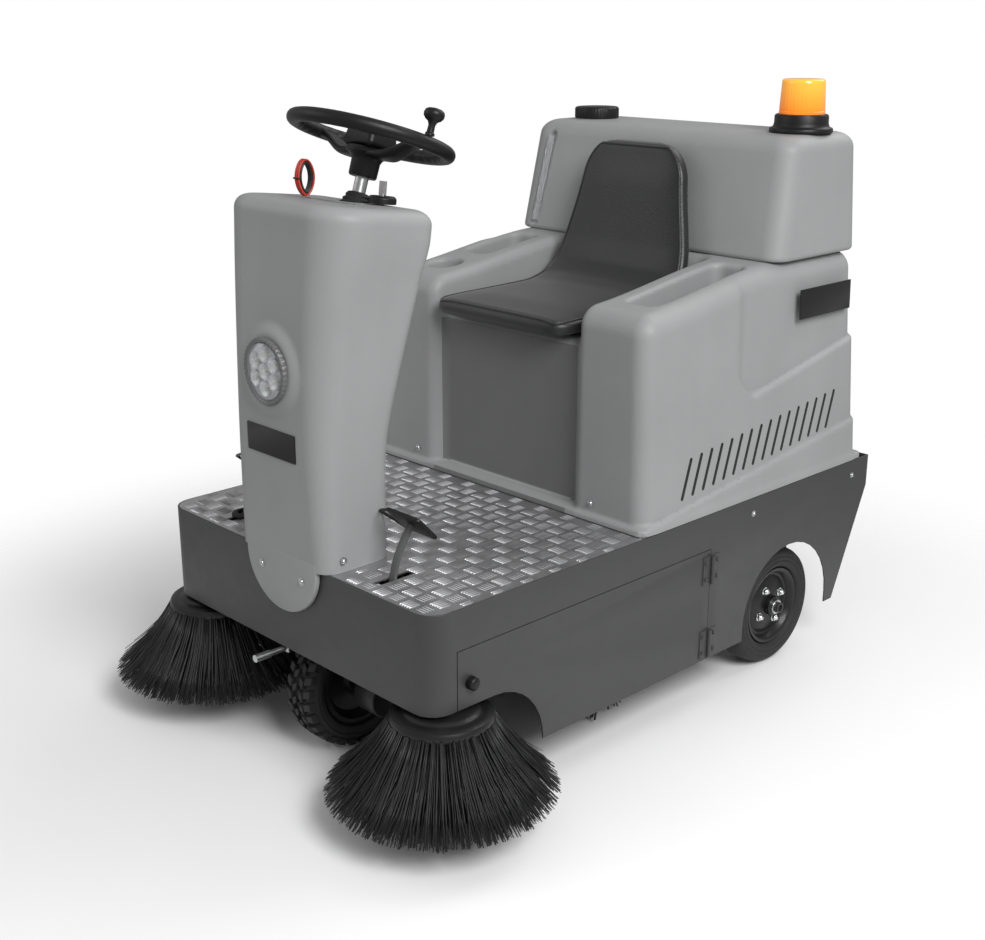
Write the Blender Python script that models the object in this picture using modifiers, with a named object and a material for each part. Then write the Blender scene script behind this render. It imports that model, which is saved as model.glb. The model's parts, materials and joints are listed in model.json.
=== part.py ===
"""Ride-on sweeper: front-steered three-wheeler with two side brushes, a roller brush and a rear hopper.

Units are metres. Machine coordinates: x = 0 on the centre plane, y = 0 at the front of the chassis,
z = 0 on the ground, front towards -y. Everything hangs under the empty "sweeper", which centres
the machine on the origin.
"""

import math

import bmesh
import bpy
from mathutils import Matrix, Vector

# Chassis
LENGTH = 1.335
HALF_WIDTH = 0.405
DECK_Z = 0.430
FRONT_BOTTOM_Z = 0.240
SIDE_BOTTOM_Z = 0.107
REAR_DROP_Z = 0.358
SLANT_FOOT_Y = 1.225
CORNER_RADIUS = 0.045
SHEET = 0.003
GAP = 0.0003
RUNNING = 0.0005

# Doors in the side skirts, hinged along their rear edges
DOOR_FRONT_Y = 0.060
DOOR_REAR_Y = 0.762
DOOR_TOP_Z = 0.353
DOOR_EDGE = 0.0015
BRUSH_ARCH_START_Y = 0.150
BRUSH_ARCH_END_Y = 0.275
HINGE_RADIUS = 0.005
HINGE_HEIGHTS = (0.145, 0.309)
HINGE_LENGTH = 0.060
NOZZLE_X = -0.028
NOZZLE_Z = 0.231

# Wheels
WHEEL_RADIUS = 0.134
RIM_RADIUS = 0.088
TYRE_WIDTH = 0.070
WHEEL_STEPS = 24
REAR_WHEEL_Y = 1.040
REAR_WHEEL_FACE_X = 0.378
WHEEL_ARCH_RADIUS = 0.155
REAR_AXLE_RADIUS = 0.012
AXLE_END_X = 0.394

# Steered front wheel
STEER_Y = 0.105
FRONT_WHEEL_Y = 0.1435
FRONT_TYRE_WIDTH = 0.078
FRONT_AXLE_RADIUS = 0.010
FORK_LEG_X = 0.052
FORK_LEG = 0.008
CROWN_Z = 0.287
CROWN_HEIGHT = 0.040
STEM_RADIUS = 0.0145
HEAD_TUBE_RADIUS = 0.024
HEAD_TUBE_LOW_Z = 0.345
HEAD_TUBE_HIGH_Z = 0.620
COLUMN_TILT = math.radians(18.9)
WHEEL_CENTRE = Vector((0, 0.2306, 1.1785))
STEERING_RIM_RADIUS = 0.1426
STEERING_RIM_TUBE = 0.0135
SHAFT_RADIUS = 0.0125
COUPLING_BALL = 0.012

# Side brushes on lifting arms
BRUSH_X = 0.357
BRUSH_Y = 0.066
BRUSH_RADIUS = 0.215
BRUSH_TIP_Z = 0.070
BRUSH_DISC_Z = 0.205
BRUSH_DISC_RADIUS = 0.095
BRUSH_DISC_HEIGHT = 0.030
ARM_PIVOT_Y = 0.360
ARM_PIVOT_Z = 0.335
ARM_PIN_RADIUS = 0.008
ARM_X = 0.345
ARM_WIDTH = 0.030
MOTOR_RADIUS = 0.035

# Roller brush, its motor and belt
ROLLER_Y = 0.560
ROLLER_RADIUS = 0.130
ROLLER_CORE_RADIUS = 0.040
ROLLER_LENGTH = 0.620
ROLLER_CLEARANCE = 0.002
ROLLER_PIN_RADIUS = 0.010
HANGER_X = 0.326
BELT_X = 0.352
BELT_WIDTH = 0.012
BELT_CLEARANCE = 0.0009
BRUSH_PULLEY_RADIUS = 0.050
MOTOR_PULLEY_RADIUS = 0.025
ROLLER_MOTOR_Y = 0.720
ROLLER_MOTOR_Z = 0.310
ROLLER_MOTOR_RADIUS = 0.048

# Frame
RAIL_X = 0.285
RAIL_WIDTH = 0.030
RAIL_HEIGHT = 0.050
PLATE = 0.003
FOOTPLATE_END_Y = 0.600
FRONT_CROSSING_Y = 0.015

# Hopper
HOPPER_HALF_WIDTH = 0.250
HOPPER_FRONT_Y = 0.800
HOPPER_FLOOR_Z = 0.060
HOPPER_TOP_Z = 0.330
HOPPER_WALL = 0.004
RUNNER_Z = 0.200

# Steering column cover, as (height, half width, front y, back y, front corner radius)
COLUMN_WALL = 0.004
COLUMN_SECTIONS = (
    (0.4303, 0.138, -0.012, 0.145, 0.034),
    (0.650, 0.138, -0.016, 0.148, 0.044),
    (0.800, 0.146, -0.012, 0.186, 0.054),
    (0.950, 0.160, -0.002, 0.224, 0.064),
    (1.030, 0.170, 0.006, 0.240, 0.070),
    (1.068, 0.170, 0.008, 0.240, 0.070),
    (1.082, 0.162, 0.016, 0.232, 0.064),
    (1.087, 0.146, 0.032, 0.216, 0.050),
)
COLUMN_TOP_FALL = 0.12
COLUMN_BACK_RADIUS = 0.030
TONGUE_HALF_WIDTH = 0.108
TONGUE_BOTTOM_Z = 0.326
LAMP_Z = 0.788
LAMP_RADIUS = 0.0615
LENS_RADIUS = 0.052
LAMP_FRONT_Y = -0.030

# Hood with the seat recess
HOOD_WALL = 0.005
HOOD_HALF_WIDTH = 0.395
HOOD_FRONT_Y = 0.558
HOOD_REAR_Y = 1.300
ARM_TOP_Z = 0.850
HOOD_TOP_Z = 0.905
SHOULDER_Y = 0.950
SEAT_HALF_SPACE = 0.205
SEAT_PANEL_Y = 0.582
SEAT_BASE_Z = 0.782
SEAT_BACK_Y = 0.968
SEAT_SLOPE_RUN = 0.060
SEAT_SLOPE_RISE = 0.150
BIN_WIDTH = 0.075
BIN_X = 0.295
BIN_DEPTH = 0.060

# Seat
SEAT_HALF_WIDTH = 0.188
SEAT_THICKNESS = 0.044
SEAT_FRONT_Y = 0.535
SEAT_TOP_Z = 1.125

# Water tank and what stands on it
TANK_WALL = 0.004
TANK_TOP_Z = 1.152
TANK_BASE = (0.376, 0.975, 1.268)
TANK_TOP = (0.362, 1.022, 1.262)
CAP_X = -0.285
CAP_Y = 1.150
CAP_RADIUS = 0.052
NECK_RADIUS = 0.040
BEACON_X = 0.290
BEACON_Y = 1.150
BEACON_FLANGE_RADIUS = 0.066

RAIL_TOP_Z = DECK_Z - PLATE - GAP
RAIL_BOTTOM_Z = RAIL_TOP_Z - RAIL_HEIGHT
INNER_X = HALF_WIDTH - SHEET - GAP
MID_Y = (LENGTH + BRUSH_Y - BRUSH_RADIUS) / 2
STEER_AXIS = Vector((0, math.sin(COLUMN_TILT), math.cos(COLUMN_TILT)))
COUPLING_Z = WHEEL_CENTRE.z - (WHEEL_CENTRE.y - STEER_Y) / math.tan(COLUMN_TILT)
COUPLING = Vector((0, STEER_Y, COUPLING_Z))
ROLLER_Z = ROLLER_RADIUS + ROLLER_CLEARANCE
HINGE_X = HALF_WIDTH + HINGE_RADIUS + 0.0008


def clear_scene():
    for obj in list(bpy.data.objects):
        bpy.data.objects.remove(obj, do_unlink=True)


clear_scene()
parts = bpy.data.collections.new("Sweeper")
helpers = bpy.data.collections.new("Cutters")
for collection in (parts, helpers):
    bpy.context.scene.collection.children.link(collection)
machine = bpy.data.objects.new("sweeper", None)
machine.location = (0, -MID_Y, 0)
parts.objects.link(machine)


def paint(name, colour, roughness, metallic=0.0):
    material = bpy.data.materials.new(name)
    material.use_nodes = True
    shader = material.node_tree.nodes["Principled BSDF"]
    shader.inputs["Base Color"].default_value = (*colour, 1)
    shader.inputs["Roughness"].default_value = roughness
    shader.inputs["Metallic"].default_value = metallic
    return material


DARK_PAINT = paint("dark_paint", (0.070, 0.075, 0.073), 0.45)
GREY_PLASTIC = paint("grey_plastic", (0.36, 0.37, 0.37), 0.5)
BLACK_PLASTIC = paint("black_plastic", (0.02, 0.02, 0.02), 0.5)
RUBBER = paint("rubber", (0.015, 0.015, 0.015), 0.8)
STEEL = paint("steel", (0.45, 0.46, 0.47), 0.35, 1.0)
ALUMINIUM = paint("aluminium", (0.75, 0.75, 0.75), 0.3, 1.0)
BRISTLE = paint("bristle", (0.02, 0.02, 0.022), 0.7)
VINYL = paint("vinyl", (0.018, 0.018, 0.02), 0.45)
AMBER = paint("amber", (0.95, 0.33, 0.02), 0.2)
CLEAR = paint("clear", (0.8, 0.8, 0.8), 0.1)
WIRE = paint("wire", (0.45, 0.05, 0.04), 0.5)


def add_object(name, mesh, material=None, origin=(0, 0, 0)):
    """An object under the machine's empty; the mesh is given about the machine's zero."""
    mesh.transform(Matrix.Translation(-Vector(origin)))
    obj = bpy.data.objects.new(name, mesh)
    obj.location = origin
    obj.parent = machine
    if material is None:
        helpers.objects.link(obj)
        obj.hide_render = True
        obj.display_type = "WIRE"
    else:
        parts.objects.link(obj)
        mesh.materials.append(material)
    return obj


def mesh_from(bm, name, smooth=False):
    bm.normal_update()
    bmesh.ops.recalc_face_normals(bm, faces=bm.faces)
    mesh = bpy.data.meshes.new(name)
    bm.to_mesh(mesh)
    bm.free()
    if smooth:
        mesh.shade_smooth()
        mesh.set_sharp_from_angle(angle=math.radians(35))
    return mesh


def box(name, x, y, z, material=None, origin=(0, 0, 0)):
    bm = bmesh.new()
    bmesh.ops.create_cube(bm, size=1)
    bmesh.ops.scale(bm, vec=(x[1] - x[0], y[1] - y[0], z[1] - z[0]), verts=bm.verts)
    centre = Vector((x[0] + x[1], y[0] + y[1], z[0] + z[1])) / 2
    bmesh.ops.translate(bm, vec=centre, verts=bm.verts)
    return add_object(name, mesh_from(bm, name), material, origin)


def rod(name, start, end, radius, material=None, origin=(0, 0, 0), sides=14, end_radius=None):
    """A cylinder or cone between two points."""
    start, end = Vector(start), Vector(end)
    bm = bmesh.new()
    top = radius if end_radius is None else end_radius
    length = (end - start).length
    bmesh.ops.create_cone(bm, cap_ends=True, segments=sides, radius1=radius, radius2=top, depth=length)
    turn = (end - start).to_track_quat("Z", "Y").to_matrix().to_4x4()
    bm.transform(Matrix.Translation((start + end) / 2) @ turn)
    return add_object(name, mesh_from(bm, name, True), material, origin)


def prism(name, outline, axis, low, high, material=None, origin=(0, 0, 0)):
    """A flat outline extruded along x (outline in y, z), y (x, z) or z (x, y)."""
    place = {"x": lambda a, b: (low, a, b), "y": lambda a, b: (a, low, b), "z": lambda a, b: (a, b, low)}
    bm = bmesh.new()
    face = bm.faces.new([bm.verts.new(place[axis](a, b)) for a, b in outline])
    grown = bmesh.ops.extrude_face_region(bm, geom=[face])
    moved = [item for item in grown["geom"] if isinstance(item, bmesh.types.BMVert)]
    step = Vector([high - low if letter == axis else 0 for letter in "xyz"])
    bmesh.ops.translate(bm, vec=step, verts=moved)
    return add_object(name, mesh_from(bm, name), material, origin)


def lathe(name, profile, centre, direction, material=None, steps=20):
    """A closed profile of (radius, height) turned about a direction through centre."""
    area = sum(a[0] * b[1] - b[0] * a[1] for a, b in zip(profile, profile[1:] + profile[:1]))
    points = profile if area < 0 else profile[::-1]
    mesh = bpy.data.meshes.new(name)
    on_axis = [index for index, point in enumerate(points) if point[0] == 0]
    if on_axis:
        # An open profile starts and ends on the axis
        while not (points[0][0] == 0 and points[-1][0] == 0):
            points = points[1:] + points[:1]
    edges = [(i, i + 1) for i in range(len(points) - 1)]
    if not on_axis:
        edges.append((len(points) - 1, 0))
    mesh.from_pydata([(r, 0, h) for r, h in points], edges, [])
    obj = add_object(name, mesh, material)
    obj.location = centre
    obj.rotation_mode = "QUATERNION"
    obj.rotation_quaternion = Vector(direction).to_track_quat("Z", "Y")
    screw = obj.modifiers.new("Turn", "SCREW")
    screw.steps = screw.render_steps = steps
    screw.use_merge_vertices = True
    screw.merge_threshold = 0.0001
    screw.use_smooth_shade = True
    return obj


def circle_profile(radius, tube, count=8):
    turns = [2 * math.pi * i / count for i in range(count)]
    return [(radius + tube * math.cos(a), tube * math.sin(a)) for a in turns]


def boolean(target, operation, *others):
    for other in others:
        modifier = target.modifiers.new(operation.lower(), "BOOLEAN")
        modifier.operation = operation
        modifier.object = other
    return target


def join(target, *others):
    return boolean(target, "UNION", *others)


def cut(target, *others):
    return boolean(target, "DIFFERENCE", *others)


def bevel(obj, width, segments=2, angle=30):
    modifier = obj.modifiers.new("Bevel", "BEVEL")
    modifier.width = width
    modifier.segments = segments
    modifier.limit_method = "ANGLE"
    modifier.angle_limit = math.radians(angle)
    return obj


def arc(centre, radius, start, end, count):
    """Points of an arc, angles in degrees from the first axis of the outline."""
    turns = [math.radians(start + (end - start) * i / count) for i in range(count + 1)]
    return [(centre[0] + radius * math.cos(a), centre[1] + radius * math.sin(a)) for a in turns]


def rounded_front(half_width, front, back, radius, count=5):
    """Plan outline with two rounded front corners and square rear ones."""
    right = arc((half_width - radius, front + radius), radius, -90, 0, count)
    left = [(-x, y) for x, y in reversed(right)]
    return [(-half_width, back)] + left + right + [(half_width, back)]


def loft(name, rings, material=None, origin=(0, 0, 0)):
    """Closed skin through rings that all have the same number of points."""
    bm = bmesh.new()
    rows = [[bm.verts.new(point) for point in ring] for ring in rings]
    count = len(rings[0])
    for low, high in zip(rows, rows[1:]):
        for i in range(count):
            j = (i + 1) % count
            bm.faces.new((low[i], low[j], high[j], high[i]))
    bm.faces.new(reversed(rows[0]))
    bm.faces.new(rows[-1])
    return add_object(name, mesh_from(bm, name, True), material, origin)


def rounded_ring(half_width, front, back, front_radius, back_radius, height, fall=0.0, count=3):
    """Ring of a rounded rectangle at a height that falls off towards the back."""
    corners = (
        (half_width - front_radius, front + front_radius, front_radius, -90),
        (half_width - back_radius, back - back_radius, back_radius, 0),
        (-half_width + back_radius, back - back_radius, back_radius, 90),
        (-half_width + front_radius, front + front_radius, front_radius, 180),
    )
    plan = [p for x, y, r, start in corners for p in arc((x, y), r, start, start + 90, count)]
    return [(x, y, height - fall * max(y - front, 0)) for x, y in plan]


def side_name(side):
    return "right" if side > 0 else "left"


# ---- frame and chassis ------------------------------------------------------------------------


def column_point(height):
    """Point on the tilted steering axis at a height."""
    return WHEEL_CENTRE + STEER_AXIS * ((height - WHEEL_CENTRE.z) / STEER_AXIS.z)


def main_frame():
    rail = (RAIL_X - RAIL_WIDTH / 2, RAIL_X + RAIL_WIDTH / 2)
    tall = (RAIL_BOTTOM_Z, RAIL_TOP_Z)
    frame = box("main_frame", rail, (FRONT_CROSSING_Y, 1.310), tall, DARK_PAINT)
    join(frame, box("rail_left", (-rail[1], -rail[0]), (FRONT_CROSSING_Y, 1.310), tall))
    crossings = ((FRONT_CROSSING_Y, 0.035, RAIL_X), (0.200, 0.230, RAIL_X), (0.620, 0.655, INNER_X))
    crossings += ((0.950, 1.020, RAIL_X), (1.275, 1.310, INNER_X))
    for front, back, reach in crossings:
        join(frame, box("crossing", (-reach, reach), (front, back), tall))
    join(frame, box("head_plate", (-0.05, 0.05), (0.030, 0.205), (RAIL_TOP_Z - 0.02, RAIL_TOP_Z)))
    head_low, head_high = (0, STEER_Y, HEAD_TUBE_LOW_Z), (0, STEER_Y, HEAD_TUBE_HIGH_Z)
    join(frame, rod("head_tube", head_low, head_high, HEAD_TUBE_RADIUS))
    below, above = (0, STEER_Y, HEAD_TUBE_LOW_Z - 0.05), (0, STEER_Y, HEAD_TUBE_HIGH_Z + 0.05)
    cut(frame, rod("head_bore", below, above, STEM_RADIUS + RUNNING))
    steering_post(frame)
    for side in (-1, 1):
        wheel_bracket(frame, side)
        arm_pivot(frame, side)
        roller_hanger(frame, side)
        pedal_pin(frame, side)
    tray = (RAIL_TOP_Z - 0.001, RAIL_TOP_Z + PLATE)
    join(frame, box("battery_tray", (-RAIL_X, RAIL_X), (0.622, 0.979), tray))
    motor_plate = box("motor_plate", (-0.262, -0.250), (0.640, 0.780), (0.250, RAIL_TOP_Z - 0.01))
    join(frame, motor_plate)
    start, end = (-0.28, ROLLER_MOTOR_Y, ROLLER_MOTOR_Z), (-0.24, ROLLER_MOTOR_Y, ROLLER_MOTOR_Z)
    cut(frame, rod("shaft_hole", start, end, 0.012))
    return frame


def steering_post(frame):
    """Post inside the column that carries the upper steering bearing."""
    ring_centre = column_point(0.985)
    join(frame, box("post", (-0.022, 0.022), (0.040, 0.050), (RAIL_TOP_Z - 0.01, 0.995)))
    join(frame, box("post_arm", (-0.020, 0.020), (0.045, ring_centre.y - 0.015), (0.975, 0.995)))
    low, high = ring_centre - STEER_AXIS * 0.016, ring_centre + STEER_AXIS * 0.016
    join(frame, rod("top_bearing", low, high, 0.024))
    low, high = ring_centre - STEER_AXIS * 0.05, ring_centre + STEER_AXIS * 0.05
    cut(frame, rod("top_bore", low, high, SHAFT_RADIUS + RUNNING))


def wheel_bracket(frame, side):
    x = sorted((side * 0.288, side * 0.298))
    join(frame, box("wheel_bracket", x, (REAR_WHEEL_Y - 0.04, REAR_WHEEL_Y + 0.04), (0.100, RAIL_TOP_Z - 0.01)))
    start, end = (side * 0.292, REAR_WHEEL_Y, WHEEL_RADIUS), (side * AXLE_END_X, REAR_WHEEL_Y, WHEEL_RADIUS)
    join(frame, rod("stub_axle", start, end, REAR_AXLE_RADIUS))
    deep, out = (side * 0.384, REAR_WHEEL_Y, WHEEL_RADIUS), (side * 0.410, REAR_WHEEL_Y, WHEEL_RADIUS)
    cut(frame, rod("axle_hollow", deep, out, REAR_AXLE_RADIUS - 0.004))
    x = sorted((side * (HOPPER_HALF_WIDTH + 0.003), side * 0.292))
    join(frame, box("hopper_runner", x, (0.850, 1.200), (RUNNER_Z, RUNNER_Z + 0.012)))


def arm_pivot(frame, side):
    x = sorted((side * 0.287, side * 0.299))
    join(frame, box("arm_lug", x, (ARM_PIVOT_Y - 0.02, ARM_PIVOT_Y + 0.02), (ARM_PIVOT_Z - 0.02, RAIL_TOP_Z - 0.01)))
    start, end = (side * 0.29, ARM_PIVOT_Y, ARM_PIVOT_Z), (side * 0.372, ARM_PIVOT_Y, ARM_PIVOT_Z)
    join(frame, rod("arm_pin", start, end, ARM_PIN_RADIUS))


def roller_hanger(frame, side):
    x = sorted((side * (HANGER_X - 0.004), side * (HANGER_X + 0.004)))
    y = (ROLLER_Y - 0.022, ROLLER_Y + 0.022)
    join(frame, box("roller_hanger", x, y, (ROLLER_Z - 0.025, RAIL_BOTTOM_Z + 0.02)))
    x = sorted((side * RAIL_X, side * HANGER_X))
    join(frame, box("hanger_arm", x, y, (RAIL_BOTTOM_Z + 0.004, RAIL_BOTTOM_Z + 0.018)))
    if side > 0:
        start, end = (HANGER_X, ROLLER_Y, ROLLER_Z), (ROLLER_LENGTH / 2 - 0.02, ROLLER_Y, ROLLER_Z)
        join(frame, rod("roller_pin", start, end, ROLLER_PIN_RADIUS))
    else:
        start, end = (-HANGER_X - 0.02, ROLLER_Y, ROLLER_Z), (-HANGER_X + 0.02, ROLLER_Y, ROLLER_Z)
        cut(frame, rod("roller_hole", start, end, ROLLER_PIN_RADIUS + RUNNING))


PEDALS = {1: ("drive_pedal", 0.220), -1: ("brake_pedal", -0.240)}
PEDAL_PIVOT_Y = 0.072
PEDAL_PIVOT_Z = 0.404
PEDAL_PIN_RADIUS = 0.006


def pedal_pin(frame, side):
    x = PEDALS[side][1]
    start, end = (side * RAIL_X, PEDAL_PIVOT_Y, PEDAL_PIVOT_Z), (x - side * 0.016, PEDAL_PIVOT_Y, PEDAL_PIVOT_Z)
    join(frame, rod("pedal_pin", start, end, PEDAL_PIN_RADIUS))


def side_cut_outline():
    """What is missing below the skirt, seen from the side: brush arch, wheel arch and rear slant."""
    drop = FRONT_BOTTOM_Z - SIDE_BOTTOM_Z
    reach = BRUSH_ARCH_END_Y - BRUSH_ARCH_START_Y
    turns = [math.radians(90 - 90 * i / 8) for i in range(9)]
    arch = [(BRUSH_ARCH_START_Y + reach * math.cos(a), SIDE_BOTTOM_Z + drop * math.sin(a)) for a in turns]
    wheel = arc((REAR_WHEEL_Y, WHEEL_RADIUS), WHEEL_ARCH_RADIUS, 180, 0, 16)
    slant = [(REAR_WHEEL_Y + WHEEL_ARCH_RADIUS, SIDE_BOTTOM_Z), (SLANT_FOOT_Y, SIDE_BOTTOM_Z)]
    rear = [(LENGTH, REAR_DROP_Z), (LENGTH + 0.1, REAR_DROP_Z), (LENGTH + 0.1, -0.01)]
    start = [(-0.1, -0.01), (-0.1, FRONT_BOTTOM_Z)]
    return start + arch + [(REAR_WHEEL_Y - WHEEL_ARCH_RADIUS, SIDE_BOTTOM_Z)] + wheel + slant + rear


def chassis_skirt():
    outer = rounded_front(HALF_WIDTH, 0, LENGTH, CORNER_RADIUS)
    inner = rounded_front(HALF_WIDTH - SHEET, SHEET, LENGTH - SHEET, CORNER_RADIUS - SHEET)
    skirt = prism("chassis_skirt", outer, "z", SIDE_BOTTOM_Z, DECK_Z, DARK_PAINT)
    cut(skirt, prism("skirt_inside", inner, "z", 0, DECK_Z + 0.1))
    cut(skirt, prism("skirt_side_cut", side_cut_outline(), "x", -0.5, 0.5))
    for side in (-1, 1):
        x = sorted((side * (HALF_WIDTH - 0.02), side * (HALF_WIDTH + 0.02)))
        cut(skirt, box("door_opening", x, (DOOR_FRONT_Y, DOOR_REAR_Y), (0, DOOR_TOP_Z)))
        for height in HINGE_HEIGHTS:
            x = sorted((side * (HALF_WIDTH - 0.001), side * (HALF_WIDTH + 0.0022)))
            z = (height - HINGE_LENGTH / 2, height + HINGE_LENGTH / 2)
            join(skirt, box("fixed_leaf", x, (DOOR_REAR_Y + 0.007, DOOR_REAR_Y + 0.026), z))
    return skirt


def footplate():
    outline = rounded_front(INNER_X, SHEET + GAP, FOOTPLATE_END_Y, CORNER_RADIUS - SHEET - GAP)
    plate = prism("footplate", outline, "z", DECK_Z - PLATE, DECK_Z, ALUMINIUM)
    cut(plate, box("head_hole", (-0.040, 0.040), (0.034, STEER_Y + 0.035), (0.4, 0.5)))
    for side, (name, x) in PEDALS.items():
        cut(plate, box(name + "_slot", (x - 0.009, x + 0.009), (0.036, 0.118), (0.4, 0.5)))
    return plate


def side_door(side):
    name = "side_door_" + side_name(side)
    x = sorted((side * (HALF_WIDTH - SHEET), side * HALF_WIDTH))
    front, back = DOOR_FRONT_Y + DOOR_EDGE, DOOR_REAR_Y - DOOR_EDGE
    pivot = (side * HINGE_X, DOOR_REAR_Y, 0)
    door = box(name, x, (front, back), (SIDE_BOTTOM_Z, DOOR_TOP_Z - DOOR_EDGE), DARK_PAINT, pivot)
    cut(door, prism("door_side_cut", side_cut_outline(), "x", -0.5, 0.5))
    for height in HINGE_HEIGHTS:
        z = (height - HINGE_LENGTH / 2, height + HINGE_LENGTH / 2)
        x = sorted((side * (HALF_WIDTH - 0.001), side * (HALF_WIDTH + 0.003)))
        join(door, box("door_leaf", x, (DOOR_REAR_Y - 0.026, back), z))
        low, high = (side * HINGE_X, DOOR_REAR_Y, z[0]), (side * HINGE_X, DOOR_REAR_Y, z[1])
        join(door, rod("door_barrel", low, high, HINGE_RADIUS, sides=12))
    knob_y, knob_z = DOOR_FRONT_Y + 0.031, 0.286
    inside, outside = (side * (HALF_WIDTH - 0.02), knob_y, knob_z), (side * (HALF_WIDTH + 0.02), knob_y, knob_z)
    cut(door, rod("knob_hole", inside, outside, 0.006))
    start, end = (side * (HALF_WIDTH - 0.012), knob_y, knob_z), (side * (HALF_WIDTH + 0.016), knob_y, knob_z)
    knob = rod("door_knob_" + side_name(side), start, end, 0.005, BLACK_PLASTIC, start)
    grip = (side * (HALF_WIDTH + GAP), knob_y, knob_z)
    join(knob, rod("grip", grip, end, 0.013))
    cam = sorted((side * (HALF_WIDTH - 0.012), side * (HALF_WIDTH - SHEET - 0.001)))
    # The cam hangs clear of the skirt here and turns forward to hold the door
    join(knob, box("cam", cam, (knob_y - 0.006, knob_y + 0.006), (knob_z - 0.045, knob_z + 0.006)))
    return door


# ---- wheels and steering ----------------------------------------------------------------------


def wheel(name, centre, width, side, bore):
    """A tyre and a dished rim on a sideways axle."""
    half = width / 2
    tyre_profile = [(RIM_RADIUS, half - 0.006), (RIM_RADIUS + 0.016, half), (WHEEL_RADIUS - 0.012, half - 0.002)]
    tyre_profile += [(WHEEL_RADIUS, half - 0.020)]
    tyre_profile += [(r, -h) for r, h in reversed(tyre_profile)]
    lathe(name + "_tyre", tyre_profile, centre, (side, 0, 0), RUBBER, WHEEL_STEPS)
    edge, face = RIM_RADIUS - GAP, half - 0.008
    rim_profile = [(bore, 0.022), (bore + 0.014, 0.022), (bore + 0.018, face - 0.020), (edge - 0.022, face - 0.020)]
    rim_profile += [(edge - 0.010, face), (edge, face), (edge, -face), (edge - 0.010, -face)]
    rim_profile += [(edge - 0.016, -0.004), (bore + 0.012, -0.026), (bore, -0.026)]
    lathe(name + "_rim", rim_profile, centre, (side, 0, 0), BLACK_PLASTIC, WHEEL_STEPS)


def front_fork():
    pivot = (0, STEER_Y, 0)
    half = FORK_LEG_X + FORK_LEG
    top = COUPLING_Z - COUPLING_BALL + 0.001
    fork = rod("front_fork", (0, STEER_Y, CROWN_Z), (0, STEER_Y, top), STEM_RADIUS, DARK_PAINT, pivot)
    join(fork, box("crown", (-half, half), (STEER_Y - 0.03, FRONT_WHEEL_Y + 0.02), (CROWN_Z, CROWN_Z + CROWN_HEIGHT)))
    for side in (-1, 1):
        x = sorted((side * FORK_LEG_X, side * half))
        leg = (FRONT_WHEEL_Y - 0.022, FRONT_WHEEL_Y + 0.018)
        join(fork, box("leg", x, leg, (WHEEL_RADIUS - 0.022, CROWN_Z + 0.01)))
        x = sorted((side * (COUPLING_BALL + GAP), side * (COUPLING_BALL + 0.005)))
        join(fork, box("yoke", x, (STEER_Y - 0.006, STEER_Y + 0.006), (top - 0.016, COUPLING_Z + 0.005)))
    join(fork, rod("yoke_foot", (0, STEER_Y, top - 0.022), (0, STEER_Y, top - 0.009), COUPLING_BALL + 0.005))
    join(fork, rod("ball_neck", (0, STEER_Y, top - 0.012), (0, STEER_Y, COUPLING_Z), 0.006))
    ball = [(COUPLING_BALL * math.sin(math.pi * i / 8), COUPLING_BALL * math.cos(math.pi * i / 8)) for i in range(9)]
    ball[0], ball[-1] = (0, COUPLING_BALL), (0, -COUPLING_BALL)
    join(fork, lathe("ball", ball, COUPLING, (0, 0, 1), None, 16))
    start, end = (-half + 0.002, FRONT_WHEEL_Y, WHEEL_RADIUS), (half - 0.002, FRONT_WHEEL_Y, WHEEL_RADIUS)
    join(fork, rod("front_axle", start, end, FRONT_AXLE_RADIUS))
    centre = (0, FRONT_WHEEL_Y, WHEEL_RADIUS)
    wheel("front_wheel", centre, FRONT_TYRE_WIDTH, 1, FRONT_AXLE_RADIUS + RUNNING)
    start, end = (half + GAP, FRONT_WHEEL_Y, WHEEL_RADIUS), (half + 0.062, FRONT_WHEEL_Y, WHEEL_RADIUS)
    bevel(rod("drive_motor", start, end, 0.045, BLACK_PLASTIC, pivot), 0.006)


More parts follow.
